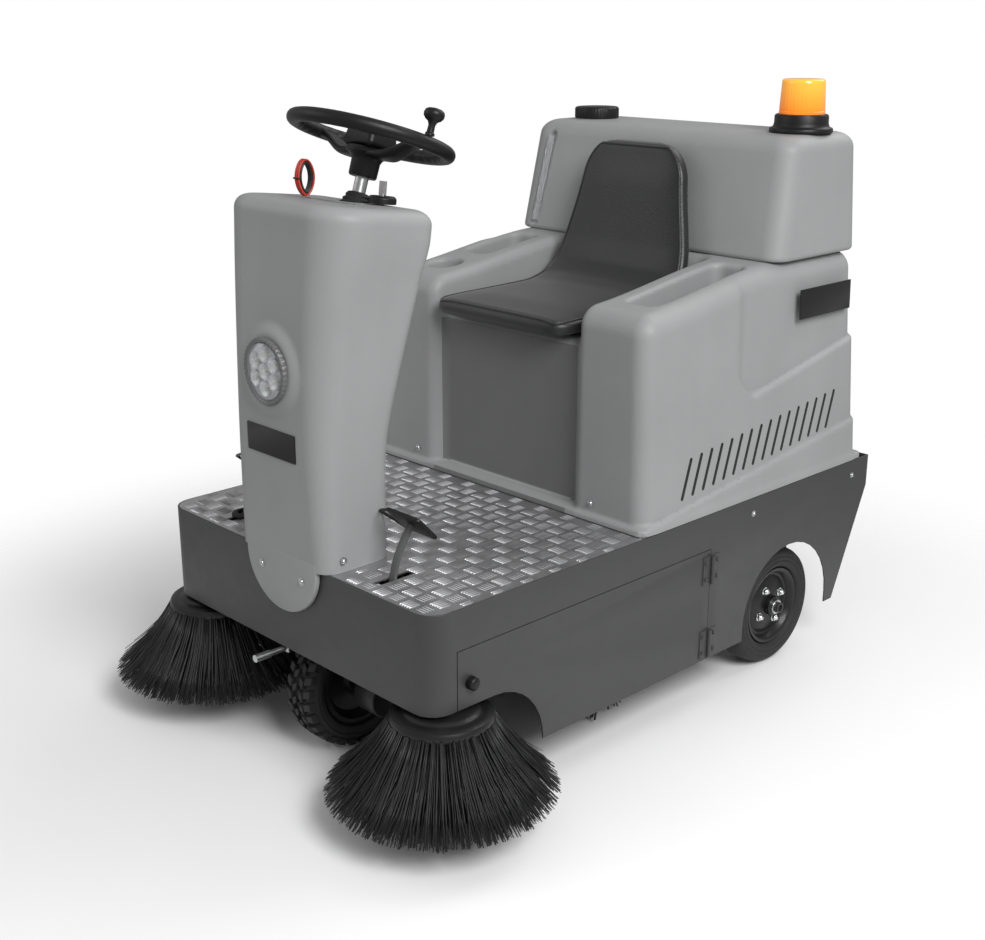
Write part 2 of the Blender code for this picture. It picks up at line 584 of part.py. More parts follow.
def steering_wheel():
    axis, centre = STEER_AXIS, WHEEL_CENTRE
    across = Vector((1, 0, 0))
    shaft = rod("steering_shaft", COUPLING + axis * 0.032, centre - axis * 0.052, SHAFT_RADIUS, STEEL, centre)
    join(shaft, rod("shaft_yoke", COUPLING + axis * 0.020, COUPLING + axis * 0.036, COUPLING_BALL + 0.006))
    back = axis.cross(across)
    for side in (-1, 1):
        tip = COUPLING + back * side * (COUPLING_BALL + 0.0035)
        join(shaft, rod("shaft_yoke_arm", tip - axis * 0.003, tip + axis * 0.030, 0.0028, sides=10))
    profile = circle_profile(STEERING_RIM_RADIUS, STEERING_RIM_TUBE)
    rim = lathe("steering_wheel", profile, centre, axis, BLACK_PLASTIC, 28)
    join(rim, rod("hub", centre - axis * 0.075, centre - axis * 0.030, 0.026))
    join(rim, rod("hub_plate", centre - axis * 0.034, centre - axis * 0.022, 0.040))
    for side in (-1, 1):
        rings = []
        for radius, drop, half in ((0.025, 0.028, 0.026), (0.090, 0.022, 0.024), (STEERING_RIM_RADIUS, 0.0, 0.017)):
            middle = centre + across * side * radius - axis * drop
            corners = ((-1, -1), (1, -1), (1, 1), (-1, 1))
            rings.append([middle + back * half * a * side + axis * 0.006 * b for a, b in corners])
        join(rim, loft("spoke", rings))
    cut(rim, rod("hub_socket", centre - axis * 0.090, centre - axis * 0.050, SHAFT_RADIUS + GAP))
    cover = box("hub_cover", (-0.036, 0.036), (-0.030, 0.030), (-0.0215, 0.020), BLACK_PLASTIC)
    cover.location = centre
    cover.rotation_euler = (-COLUMN_TILT, 0, 0)
    bevel(cover, 0.008)
    cut(cover, rod("horn_button_hole", centre + axis * 0.012, centre + axis * 0.040, 0.0145))
    rod("horn_button", centre + axis * 0.0155, centre + axis * 0.0235, 0.014, BLACK_PLASTIC, centre)
    turn = math.radians(4)
    stem = centre + STEERING_RIM_RADIUS * (math.cos(turn) * across + math.sin(turn) * back)
    stem_base = stem + axis * (STEERING_RIM_TUBE + GAP)
    profile = [(0, 0), (0.007, 0), (0.007, 0.022), (0.010, 0.026), (0.018, 0.031), (0.019, 0.038)]
    profile += [(0.013, 0.046), (0.006, 0.048), (0, 0.048)]
    lathe("spinner_knob", profile, stem_base, axis, BLACK_PLASTIC, 20)


def pedal(side):
    name, x = PEDALS[side]
    pivot = (x, PEDAL_PIVOT_Y, PEDAL_PIVOT_Z)
    outline = arc((PEDAL_PIVOT_Y, PEDAL_PIVOT_Z), 0.011, 200, 340, 6)
    bend = 0.455 if side > 0 else 0.450
    outline += [(PEDAL_PIVOT_Y + 0.010, bend), (PEDAL_PIVOT_Y + 0.040, 0.508), (PEDAL_PIVOT_Y + 0.048, 0.520)]
    outline += [(PEDAL_PIVOT_Y + 0.034, 0.526), (PEDAL_PIVOT_Y - 0.004, bend + 0.012)]
    arm = prism(name, outline, "x", x - 0.005, x + 0.005, DARK_PAINT, pivot)
    pad = [(0.098, 0.546), (0.102, 0.550), (0.146, 0.500), (0.140, 0.496)]
    pad = [(y + PEDAL_PIVOT_Y - 0.072, z) for y, z in pad]
    join(arm, prism("pad", pad, "x", x - 0.048, x + 0.048))
    start, end = (x - 0.02, pivot[1], pivot[2]), (x + 0.02, pivot[1], pivot[2])
    cut(arm, rod("pedal_bore", start, end, PEDAL_PIN_RADIUS + RUNNING))


# ---- brushes ----------------------------------------------------------------------------------


def side_brush(side):
    name = side_name(side)
    pivot = (side * ARM_X, ARM_PIVOT_Y, ARM_PIVOT_Z)
    half = ARM_WIDTH / 2
    thick = 0.012
    outline = arc((ARM_PIVOT_Y, ARM_PIVOT_Z), 0.016, 90, -90, 8)
    low = ARM_PIVOT_Z - 0.061
    outline += [(BRUSH_Y + 0.080, low), (BRUSH_Y - 0.03, low), (BRUSH_Y - 0.03, low + thick), (BRUSH_Y + 0.070, low + thick)]
    x = sorted((side * (ARM_X - half), side * (ARM_X + half)))
    arm = prism("side_brush_arm_" + name, outline, "x", x[0], x[1], DARK_PAINT, pivot)
    start, end = (side * 0.30, ARM_PIVOT_Y, ARM_PIVOT_Z), (side * 0.39, ARM_PIVOT_Y, ARM_PIVOT_Z)
    cut(arm, rod("arm_bore", start, end, ARM_PIN_RADIUS + RUNNING))
    low, high = (side * BRUSH_X, BRUSH_Y, 0.20), (side * BRUSH_X, BRUSH_Y, 0.35)
    cut(arm, rod("shaft_hole", low, high, 0.009))
    seat = ARM_PIVOT_Z - 0.061 + thick + GAP
    low, high = (side * BRUSH_X, BRUSH_Y, seat), (side * BRUSH_X, BRUSH_Y, seat + 0.080)
    bevel(rod("side_brush_motor_" + name, low, high, MOTOR_RADIUS, BLACK_PLASTIC, pivot), 0.005)
    top = BRUSH_DISC_Z + BRUSH_DISC_HEIGHT
    centre = (side * BRUSH_X, BRUSH_Y, 0)
    profile = [(0, seat - 0.003), (0.008, seat - 0.003), (0.008, top + 0.012), (0.030, top + 0.010)]
    profile += [(0.034, top), (BRUSH_DISC_RADIUS - 0.016, top - 0.004), (BRUSH_DISC_RADIUS - 0.004, top - 0.010)]
    profile += [(BRUSH_DISC_RADIUS, BRUSH_DISC_Z), (0, BRUSH_DISC_Z)]
    lathe("side_brush_disc_" + name, profile, centre, (0, 0, 1), BLACK_PLASTIC, 24)
    under = BRUSH_DISC_Z - GAP
    mid = (under + BRUSH_TIP_Z) / 2
    profile = [(0.055, under), (BRUSH_DISC_RADIUS - 0.003, under), (0.158, mid + 0.012), (BRUSH_RADIUS, BRUSH_TIP_Z + 0.006)]
    profile += [(BRUSH_RADIUS - 0.004, BRUSH_TIP_Z), (BRUSH_RADIUS - 0.045, BRUSH_TIP_Z + 0.004), (0.115, mid)]
    lathe("side_brush_bristles_" + name, profile, centre, (0, 0, 1), BRISTLE, 24)


def roller_brush():
    half = ROLLER_LENGTH / 2
    centre = (0, ROLLER_Y, ROLLER_Z)
    core = rod("roller_core", (-half, ROLLER_Y, ROLLER_Z), (half, ROLLER_Y, ROLLER_Z), ROLLER_CORE_RADIUS, STEEL, centre)
    shaft_end = (-BELT_X - 0.010, ROLLER_Y, ROLLER_Z)
    join(core, rod("roller_shaft", (-half + 0.01, ROLLER_Y, ROLLER_Z), shaft_end, ROLLER_PIN_RADIUS))
    deep, out = (half - 0.025, ROLLER_Y, ROLLER_Z), (half + 0.02, ROLLER_Y, ROLLER_Z)
    cut(core, rod("roller_bore", deep, out, ROLLER_PIN_RADIUS + RUNNING))
    short = half - 0.004
    profile = [(ROLLER_CORE_RADIUS + GAP, short), (ROLLER_RADIUS, short)]
    profile += [(ROLLER_RADIUS, -short), (ROLLER_CORE_RADIUS + GAP, -short)]
    lathe("roller_bristles", profile, centre, (1, 0, 0), BRISTLE, 28)


def belt_drive():
    half = BELT_WIDTH / 2
    centre = (-BELT_X, ROLLER_Y, ROLLER_Z)
    bore = ROLLER_PIN_RADIUS + GAP
    profile = [(bore, half + 0.002), (BRUSH_PULLEY_RADIUS - 0.004, half + 0.002)]
    profile += [(r, -h) for r, h in reversed(profile)]
    lathe("roller_pulley", profile, centre, (1, 0, 0), STEEL)
    motor_centre = (-BELT_X, ROLLER_MOTOR_Y, ROLLER_MOTOR_Z)
    shaft_start = (-0.252, ROLLER_MOTOR_Y, ROLLER_MOTOR_Z)
    shaft_end = (-BELT_X - 0.008, ROLLER_MOTOR_Y, ROLLER_MOTOR_Z)
    pulley = rod("motor_pulley", shaft_start, shaft_end, 0.008, STEEL, motor_centre)
    start = (-BELT_X + half + 0.002, ROLLER_MOTOR_Y, ROLLER_MOTOR_Z)
    end = (-BELT_X - half - 0.002, ROLLER_MOTOR_Y, ROLLER_MOTOR_Z)
    join(pulley, rod("motor_wheel", start, end, MOTOR_PULLEY_RADIUS - 0.004))
    inner = belt_outline(BRUSH_PULLEY_RADIUS - 0.004 + BELT_CLEARANCE, MOTOR_PULLEY_RADIUS - 0.004 + BELT_CLEARANCE)
    outer = belt_outline(BRUSH_PULLEY_RADIUS, MOTOR_PULLEY_RADIUS)
    belt = prism("drive_belt", outer, "x", -BELT_X - half, -BELT_X + half, RUBBER)
    cut(belt, prism("belt_inside", inner, "x", -BELT_X - 0.05, -BELT_X + 0.05))
    start = (-0.2497, ROLLER_MOTOR_Y, ROLLER_MOTOR_Z)
    end = (-0.090, ROLLER_MOTOR_Y, ROLLER_MOTOR_Z)
    bevel(rod("roller_motor", start, end, ROLLER_MOTOR_RADIUS, BLACK_PLASTIC), 0.006)


def belt_outline(big, small):
    """Loop of two arcs joined by their outer tangents."""
    dy, dz = ROLLER_MOTOR_Y - ROLLER_Y, ROLLER_MOTOR_Z - ROLLER_Z
    heading = math.degrees(math.atan2(dz, dy))
    lean = math.degrees(math.acos((big - small) / math.hypot(dy, dz)))
    far = arc((ROLLER_MOTOR_Y, ROLLER_MOTOR_Z), small, heading - lean, heading + lean, 8)
    near = arc((ROLLER_Y, ROLLER_Z), big, heading + lean, heading + 360 - lean, 16)
    return far + near


# ---- hopper and what the hood hides -----------------------------------------------------------


def hopper():
    slope = (LENGTH - SLANT_FOOT_Y) / (REAR_DROP_Z - SIDE_BOTTOM_Z)
    low_y = SLANT_FOOT_Y - slope * (SIDE_BOTTOM_Z - HOPPER_FLOOR_Z)
    high_y = LENGTH - slope * (REAR_DROP_Z - HOPPER_TOP_Z)
    outline = [(HOPPER_FRONT_Y, HOPPER_FLOOR_Z), (low_y, HOPPER_FLOOR_Z), (high_y, HOPPER_TOP_Z), (HOPPER_FRONT_Y, HOPPER_TOP_Z)]
    half = HOPPER_HALF_WIDTH
    bin_body = prism("hopper", outline, "x", -half, half, DARK_PAINT)
    wall = HOPPER_WALL
    floor, rear = HOPPER_FLOOR_Z + wall, wall * 1.1
    inside = [(HOPPER_FRONT_Y - 0.05, floor), (low_y - rear, floor), (high_y + 0.03 - rear, HOPPER_TOP_Z + 0.06)]
    inside += [(HOPPER_FRONT_Y - 0.05, HOPPER_TOP_Z + 0.06)]
    cut(bin_body, prism("hopper_inside", inside, "x", -half + wall, half - wall))
    for side in (-1, 1):
        x = sorted((side * (half - 0.002), side * (half + 0.014)))
        ledge = (RUNNER_Z + 0.012 + GAP, RUNNER_Z + 0.020)
        join(bin_body, box("hopper_ledge", x, (0.830, 1.230), ledge))
    handle_z = 0.250
    handle_y = LENGTH - slope * (REAR_DROP_Z - handle_z)
    grip = [(-0.09, handle_y - 0.003), (-0.09, handle_y + 0.030), (0.09, handle_y + 0.030), (0.09, handle_y - 0.003)]
    hole = [(-0.078, handle_y - 0.05), (-0.078, handle_y + 0.018), (0.078, handle_y + 0.018), (0.078, handle_y - 0.05)]
    handle = prism("handle", grip, "z", handle_z - 0.006, handle_z + 0.006)
    join(bin_body, cut(handle, prism("handle_hole", [(x, max(y, handle_y - 0.001)) for x, y in hole], "z", 0.2, 0.3)))
    return bin_body


def under_hood():
    tray = RAIL_TOP_Z + PLATE + GAP
    for index, front in enumerate((0.640, 0.812)):
        bevel(box(f"battery_{index + 1}", (-0.165, 0.165), (front, front + 0.166), (tray, tray + 0.220), BLACK_PLASTIC), 0.004, 1)
    case = box("filter_box", (-0.240, 0.240), (1.000, 1.255), (RAIL_TOP_Z + GAP, 0.600), DARK_PAINT)
    cut(case, box("filter_inside", (-0.236, 0.236), (1.004, 1.251), (0.40, 0.596)))
    cut(case, rod("filter_outlet", (0, 1.128, 0.58), (0, 1.128, 0.62), 0.060))
    box("panel_filter", (-0.234, 0.234), (1.006, 1.249), (0.500, 0.5955), BRISTLE)
    turn = (0, 1.128, 0.600)
    house = [(0.088, 0.070), (0.092, 0.070), (0.092, GAP), (0.064, GAP), (0.064, 0.004), (0.088, 0.004)]
    lathe("fan_housing", house, turn, (0, 0, 1), DARK_PAINT)
    wheel_profile = [(0.0, 0.0697), (0.012, 0.0697), (0.014, 0.062), (0.078, 0.058), (0.080, 0.010), (0.052, 0.010), (0.052, 0.030), (0.0, 0.030)]
    lathe("fan_wheel", wheel_profile, turn, (0, 0, 1), STEEL)
    motor = rod("fan_motor", (0, 1.128, 0.6703), (0, 1.128, 0.780), 0.055, BLACK_PLASTIC)
    join(motor, rod("fan_cover", (0, 1.128, 0.6703), (0, 1.128, 0.676), 0.092))
    box("motor_controller", (0.190, 0.270), (0.640, 0.840), (tray, tray + 0.090), ALUMINIUM)
    pump = box("water_pump", (-0.268, -0.200), (0.660, 0.780), (tray, tray + 0.060), BLACK_PLASTIC)
    join(pump, rod("pump_head", (-0.234, 0.770, tray + 0.030), (-0.234, 0.825, tray + 0.030), 0.022))


# ---- covers -----------------------------------------------------------------------------------


def column_rings(inset):
    rings = []
    for height, half, front, back, radius in COLUMN_SECTIONS:
        fall = COLUMN_TOP_FALL * max(0.0, min(1.0, (height - 0.95) / 0.08))
        top = height - inset if height > 0.5 else height - inset * 10
        rings.append(
            rounded_ring(half - inset, front + inset, back - inset, radius - inset, COLUMN_BACK_RADIUS - inset, top, fall)
        )
    return rings


def column_cover():
    cover = loft("column_cover", column_rings(0), GREY_PLASTIC)
    drop = DECK_Z - TONGUE_BOTTOM_Z
    turns = [math.radians(-180 + 180 * i / 16) for i in range(17)]
    arch = [(TONGUE_HALF_WIDTH * math.cos(a), DECK_Z + drop * math.sin(a)) for a in turns]
    tongue = [(-TONGUE_HALF_WIDTH, DECK_Z + 0.03)] + arch + [(TONGUE_HALF_WIDTH, DECK_Z + 0.03)]
    join(cover, prism("tongue", tongue, "y", -0.012, -GAP * 2))
    boss_back, boss_front = (0, 0.002, LAMP_Z), (0, LAMP_FRONT_Y + 0.010, LAMP_Z)
    join(cover, rod("lamp_boss", boss_back, boss_front, 0.080, end_radius=0.066, sides=24))
    cut(cover, loft("column_inside", column_rings(COLUMN_WALL)))
    cut(cover, rod("lamp_hole", (0, -0.06, LAMP_Z), (0, 0.04, LAMP_Z), LENS_RADIUS + 0.001, sides=24))
    low, high = column_point(1.03), column_point(1.12)
    cut(cover, rod("shaft_opening", low, high, SHAFT_RADIUS + 0.004))
    return cover


def headlight():
    back, front = LAMP_FRONT_Y + 0.010, LAMP_FRONT_Y
    inner = LENS_RADIUS
    profile = [(inner, GAP), (LAMP_RADIUS, GAP), (LAMP_RADIUS, 0.008), (LAMP_RADIUS - 0.003, 0.010), (inner, 0.010)]
    place = (0, back, LAMP_Z)
    housing = lathe("headlight_housing", profile, place, (0, -1, 0), BLACK_PLASTIC, 24)
    can_start, can_end = (0, back - 0.002, LAMP_Z), (0, 0.035, LAMP_Z)
    join(housing, rod("lamp_can", can_start, can_end, inner + 0.0005, sides=24))
    cut(housing, rod("lamp_inside", (0, front - 0.01, LAMP_Z), (0, 0.030, LAMP_Z), inner - 0.003, sides=24))
    lens = [(0, 0.0), (inner - 0.0035, 0.0), (inner - 0.0035, 0.008), (inner * 0.7, 0.0095), (0, 0.0105)]
    lathe("headlight_lens", lens, place, (0, -1, 0), CLEAR, 24)


def column_top_point(x, y):
    height, _, front, _, _ = COLUMN_SECTIONS[-1]
    return Vector((x, y, height - COLUMN_TOP_FALL * (y - front)))


def control_pod():
    """Oval instrument pod on the column top with the key switch."""
    centre = column_top_point(0.062, 0.200) + Vector((0, 0, 2 * GAP))
    turn = Matrix.Rotation(math.atan(-COLUMN_TOP_FALL), 4, "X")
    base = [(0, 0), (0.026, 0), (0.026, 0.010), (0.022, 0.014), (0, 0.014)]
    pod = lathe("control_pod", base, centre, (0, 0, 1), BLACK_PLASTIC, 24)
    pod.rotation_quaternion = turn.to_quaternion()
    up = turn.to_3x3() @ Vector((0, 0, 1))
    cut(pod, rod("key_socket", centre + up * 0.006, centre + up * 0.03, 0.0065))
    key = rod("ignition_key", centre + up * 0.0063, centre + up * 0.018, 0.006, STEEL, centre)
    blade = box("key_grip", (-0.009, 0.009), (-0.0015, 0.0015), (0.016, 0.040))
    blade.location = centre
    blade.rotation_mode = "QUATERNION"
    blade.rotation_quaternion = turn.to_quaternion()
    join(key, blade)


def hood_profile(inset):
    front, rear = HOOD_FRONT_Y + inset, HOOD_REAR_Y - inset
    low = DECK_Z + GAP - (0.05 if inset else 0)
    return [
        (front, low),
        (rear + 0.006, low),
        (rear - 0.030, HOOD_TOP_Z - inset),
        (SHOULDER_Y, HOOD_TOP_Z - inset),
        (front, ARM_TOP_Z - inset),
    ]


def seat_space(grow):
    panel, back = SEAT_PANEL_Y + grow, SEAT_BACK_Y + grow
    floor = SEAT_BASE_Z - grow
    low = DECK_Z + 0.020 - grow
    slope = [(back - SEAT_SLOPE_RUN, floor), (back, floor + SEAT_SLOPE_RISE)]
    outline = [(0.3, low), (panel, low), (panel, floor)] + slope + [(back, 1.0), (0.3, 1.0)]
    half = SEAT_HALF_SPACE + grow
    return prism("seat_space", outline, "x", -half, half)


def bin_spaces(grow):
    """Open bins in the arm rests and a cup holder in front of the left one."""
    half = BIN_WIDTH / 2 + grow
    floor = ARM_TOP_Z - BIN_DEPTH - grow
    right = box("right_bin", (BIN_X - half, BIN_X + half), (0.640 - grow, 0.930 + grow), (floor, 1.0))
    left = box("left_bin", (-BIN_X - half, -BIN_X + half), (0.760 - grow, 0.930 + grow), (floor, 1.0))
    cup = rod("cup_holder", (-BIN_X, 0.670, floor), (-BIN_X, 0.670, 1.0), half, sides=24)
    return right, left, cup


def hood():
    shell = prism("hood", hood_profile(0), "x", -HOOD_HALF_WIDTH, HOOD_HALF_WIDTH, GREY_PLASTIC)
    bevel(shell, 0.022, 2, 50)
    flange = box("hood_flange", (-HALF_WIDTH, HALF_WIDTH), (HOOD_FRONT_Y - 0.012, HOOD_REAR_Y + 0.012), (DECK_Z + GAP, DECK_Z + 0.014))
    join(shell, flange)
    cut(shell, seat_space(0), *bin_spaces(0))
    inner_half = HOOD_HALF_WIDTH - HOOD_WALL
    cavity = prism("hood_inside", hood_profile(HOOD_WALL), "x", -inner_half, inner_half)
    bevel(cavity, 0.018, 2, 50)
    cut(cavity, seat_space(HOOD_WALL), *bin_spaces(HOOD_WALL))
    cut(shell, cavity)
    return shell


def tank_rings(inset):
    rings = []
    levels = ((0.0, 0.006), (0.04, 0.0), (0.88, 0.0), (0.97, 0.012), (1.0, 0.030))
    low, high = HOOD_TOP_Z + GAP + inset, TANK_TOP_Z - inset
    for share, pull in levels:
        half, front, back = (a + (b - a) * share for a, b in zip(TANK_BASE, TANK_TOP))
        height = low + (high - low) * share
        grow = inset + pull
        radius = 0.040 - inset
        rings.append(rounded_ring(half - grow, front + grow, back - grow, radius, radius, height))
    return rings


def water_tank():
    tank = loft("water_tank", tank_rings(0), GREY_PLASTIC)
    cut(tank, loft("tank_inside", tank_rings(TANK_WALL)))
    top = TANK_TOP_Z
    join(tank, rod("neck", (CAP_X, CAP_Y, top - 0.003), (CAP_X, CAP_Y, top + 0.010), NECK_RADIUS + 0.004, sides=24))
    cut(tank, rod("neck_bore", (CAP_X, CAP_Y, top - 0.02), (CAP_X, CAP_Y, top + 0.03), NECK_RADIUS, sides=24))
    high, low = Vector((-0.300, 1.012, 1.118)), Vector((-0.322, 0.980, 0.925))
    inset = (low - high).normalized() * GAP
    cut(tank, rod("gauge_groove", high, low, 0.0073, sides=16))
    rod("sight_tube", high + inset, low - inset, 0.0073 - GAP, CLEAR, sides=16)
    profile = [(0, 0.0265), (CAP_RADIUS - 0.004, 0.0265), (CAP_RADIUS, 0.022), (CAP_RADIUS, GAP), (NECK_RADIUS + 0.0045, GAP)]
    profile += [(NECK_RADIUS + 0.0045, 0.011), (NECK_RADIUS - 0.001, 0.011), (NECK_RADIUS - 0.001, 0.004), (0, 0.004)]
    lathe("filler_cap", profile, (CAP_X, CAP_Y, top), (0, 0, 1), BLACK_PLASTIC, 24)


def beacon():
    place = (BEACON_X, BEACON_Y, TANK_TOP_Z)
    flange = BEACON_FLANGE_RADIUS
    profile = [(0, GAP), (flange, GAP), (flange, 0.010), (0.058, 0.013), (0.056, 0.036), (0.048, 0.038), (0, 0.038)]
    lathe("beacon_base", profile, place, (0, 0, 1), BLACK_PLASTIC, 24)
    low = 0.038 + GAP
    profile = [(0, low), (0.048, low), (0.0445, low + 0.066), (0.041, low + 0.070), (0, low + 0.070)]
    lathe("beacon_lens", profile, place, (0, 0, 1), AMBER, 24)


def seat_cushion():
    """One-piece seat: a pan that curves up into the back rest."""
    thick = SEAT_THICKNESS
    under = SEAT_BASE_Z + GAP * 2
    top = under + thick
    rear = SEAT_BACK_Y - 0.004
    lower, upper = (rear - SEAT_SLOPE_RUN, under), (rear, SEAT_BASE_Z + SEAT_SLOPE_RISE)
    outline = [(SEAT_FRONT_Y, under), lower, upper, (rear + 0.002, 0.960)]
    outline += [(rear + 0.012, 1.0), (rear + 0.028, SEAT_TOP_Z), (rear - 0.010, SEAT_TOP_Z), (rear - thick, 0.960)]
    outline += [(rear - thick - 0.020, top + 0.050), (rear - thick - 0.070, top), (SEAT_FRONT_Y + 0.010, top)]
    cushion = prism("seat_cushion", outline, "x", -SEAT_HALF_WIDTH, SEAT_HALF_WIDTH, VINYL)
    return bevel(cushion, 0.012, 2, 40)


def spray_nozzle():
    """Nozzle that wets the floor ahead of the brushes, on a strap that hangs from the front crossing."""
    strap = (NOZZLE_X - 0.009, NOZZLE_X + 0.009)
    nozzle = box("spray_nozzle", strap, (0.0095, FRONT_CROSSING_Y - GAP), (NOZZLE_Z - 0.008, RAIL_TOP_Z - 0.005), STEEL)
    join(nozzle, rod("sleeve", (NOZZLE_X, 0.012, NOZZLE_Z), (NOZZLE_X, -0.030, NOZZLE_Z), 0.0055))
    join(nozzle, rod("tip", (NOZZLE_X, -0.028, NOZZLE_Z), (NOZZLE_X, -0.062, NOZZLE_Z), 0.0075))
    return nozzle


def wire_hank():
    """Outer shape of a small tied hank of twin wire standing on the column top."""
    low = column_top_point(0, 0.118).z + 2 * GAP
    outline = arc((0.118, low + 0.047), 0.020, 0, 180, 8) + arc((0.118, low + 0.020), 0.020, 180, 360, 8)
    return prism("wire_hank", outline, "x", -0.062, -0.044, WIRE)


def build():
    main_frame()
    chassis_skirt()
    footplate()
    front_fork()
    steering_wheel()
    for side in (-1, 1):
        side_door(side)
        side_brush(side)
        pedal(side)
        centre = (side * (REAR_WHEEL_FACE_X - TYRE_WIDTH / 2), REAR_WHEEL_Y, WHEEL_RADIUS)
        wheel("rear_wheel_" + side_name(side), centre, TYRE_WIDTH, side, REAR_AXLE_RADIUS + RUNNING)
    roller_brush()
    belt_drive()
    hopper()
    under_hood()
    column_cover()
    headlight()
    control_pod()
    hood()
    water_tank()
    beacon()
    seat_cushion()
    spray_nozzle()
    wire_hank()


build()
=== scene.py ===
import json
import math

import bmesh
import bpy
import numpy as np
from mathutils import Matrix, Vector


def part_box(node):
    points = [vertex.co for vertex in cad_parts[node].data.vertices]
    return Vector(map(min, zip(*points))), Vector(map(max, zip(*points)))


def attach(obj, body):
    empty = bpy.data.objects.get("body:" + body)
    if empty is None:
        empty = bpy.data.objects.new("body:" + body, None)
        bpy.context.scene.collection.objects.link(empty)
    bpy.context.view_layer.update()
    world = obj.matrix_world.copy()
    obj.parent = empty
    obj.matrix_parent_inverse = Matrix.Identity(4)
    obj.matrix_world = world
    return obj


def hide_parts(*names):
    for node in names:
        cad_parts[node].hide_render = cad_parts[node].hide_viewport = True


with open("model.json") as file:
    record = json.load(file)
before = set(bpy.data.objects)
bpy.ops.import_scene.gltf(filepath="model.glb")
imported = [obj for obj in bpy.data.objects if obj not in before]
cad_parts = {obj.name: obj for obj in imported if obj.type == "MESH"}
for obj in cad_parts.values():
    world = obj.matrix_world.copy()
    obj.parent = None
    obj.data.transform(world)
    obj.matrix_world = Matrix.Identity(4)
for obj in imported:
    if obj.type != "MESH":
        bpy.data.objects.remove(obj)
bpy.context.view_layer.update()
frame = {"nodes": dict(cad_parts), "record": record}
nodes = frame["nodes"]
midY = 0.593  # the row's y = machine y - midY; every shape below is given in machine y, from the chassis front


# Shaders

class Wire:
    # One socket of a shader tree; arithmetic on wires adds Math nodes
    def __init__(self, tree, socket):
        self.tree = tree
        self.socket = socket

    def calc(self, operation, *values):
        node = self.tree.nodes.new("ShaderNodeMath")
        node.operation = operation
        for slot, value in zip(node.inputs, values):
            if isinstance(value, Wire):
                self.tree.links.new(value.socket, slot)
            else:
                slot.default_value = value
        return Wire(self.tree, node.outputs[0])

    def __add__(self, other): return self.calc("ADD", self, other)
    def __radd__(self, other): return self.calc("ADD", other, self)
    def __sub__(self, other): return self.calc("SUBTRACT", self, other)
    def __rsub__(self, other): return self.calc("SUBTRACT", other, self)
    def __mul__(self, other): return self.calc("MULTIPLY", self, other)
    def __rmul__(self, other): return self.calc("MULTIPLY", other, self)


class Finish:
    # A material with its Principled shader and the one method that adds any other node
    def __init__(self, name, colour, roughness, **constants):
        self.material = bpy.data.materials.new(name)
        self.material.use_nodes = True
        self.tree = self.material.node_tree
        self.shader = self.tree.nodes["Principled BSDF"]
        self.shader.inputs["Base Color"].default_value = (*colour, 1)
        self.shader.inputs["Roughness"].default_value = roughness
        for key, value in constants.items():
            self.shader.inputs[key].default_value = value

    def node(self, kind, settings=None, output=0, **sockets):
        made = self.tree.nodes.new("ShaderNode" + kind)
        for key, value in (settings or {}).items():
            if key == "stops":
                for stop, (place, colour) in zip(made.color_ramp.elements, value):
                    stop.position = place
                    stop.color = (*colour, 1) if len(colour) == 3 else colour
            else:
                setattr(made, key, value)
        for key, value in sockets.items():
            slot = made.inputs[int(key[1:])] if key[0] == "i" and key[1:].isdigit() else made.inputs[key.replace("_", " ")]
            if isinstance(value, Wire):
                self.tree.links.new(value.socket, slot)
            else:
                slot.default_value = value
        return Wire(self.tree, made.outputs[output])

    def place(self, scale=(1, 1, 1), turn=(0, 0, 0)):
        at = self.node("TexCoord", output="Object")
        return self.node("Mapping", Vector=at, Scale=scale, Rotation=turn)

    def noise(self, scale, detail=2.0, stretch=(1, 1, 1), rough=0.5):
        return self.node("TexNoise", output="Fac", Vector=self.place(stretch), Scale=scale, Detail=detail,
                         Roughness=rough)

    def feed(self, name, wire):
        self.tree.links.new(wire.socket, self.shader.inputs[name])

    def tone(self, factor, dark, light):
        colour = self.node("Mix", {"data_type": "RGBA"}, output=2, i0=factor, i6=(*dark, 1), i7=(*light, 1))
        self.feed("Base Color", colour)

    def bump(self, height, depth, strength=1.0):
        self.feed("Normal", self.node("Bump", Height=height, Distance=depth, Strength=strength))


def grey(value):
    return (value, value * 1.01, value * 1.02)


def mottled(name, value, spread, roughness, grain, depth, **constants):
    # A moulded or painted grey: cloudy tone, fine speckle, uneven gloss and a grain
    look = Finish(name, grey(value), roughness, **constants)
    cloud, speck = look.noise(9.0, 3.0), look.noise(380.0, 1.0)
    look.tone(cloud * 0.75 + speck * 0.25, grey(value * (1 - spread)), grey(value * (1 + spread)))
    look.feed("Roughness", look.noise(40.0, 2.0) * 0.16 + (roughness - 0.08))
    look.bump(look.noise(grain, 2.0), depth)
    return look.material


def metal(name, value, roughness, stretch, depth):
    look = Finish(name, grey(value), roughness, Metallic=1.0)
    streak = look.noise(160.0, 3.0, stretch)
    look.tone(streak, grey(value * 0.82), grey(min(value * 1.12, 0.95)))
    look.feed("Roughness", streak * 0.2 + (roughness - 0.1))
    look.bump(look.noise(300.0, 2.0, stretch), depth)
    return look.material


def makeCover():
    # Rotomoulded grey: cloudy tone, faint upright streaks, fine orange peel
    look = Finish("coverGrey", grey(0.27), 0.5, **{"Specular IOR Level": 0.42})
    cloud, streak, speck = look.noise(5.0, 4.0), look.noise(14.0, 2.0, (1, 1, 0.12)), look.noise(520.0, 1.0)
    look.tone(cloud * 0.5 + streak * 0.3 + speck * 0.2, grey(0.252), grey(0.352))
    look.feed("Roughness", look.noise(30.0, 3.0) * 0.18 + 0.42)
    look.bump(look.noise(260.0, 3.0), 0.00025)
    return look.material


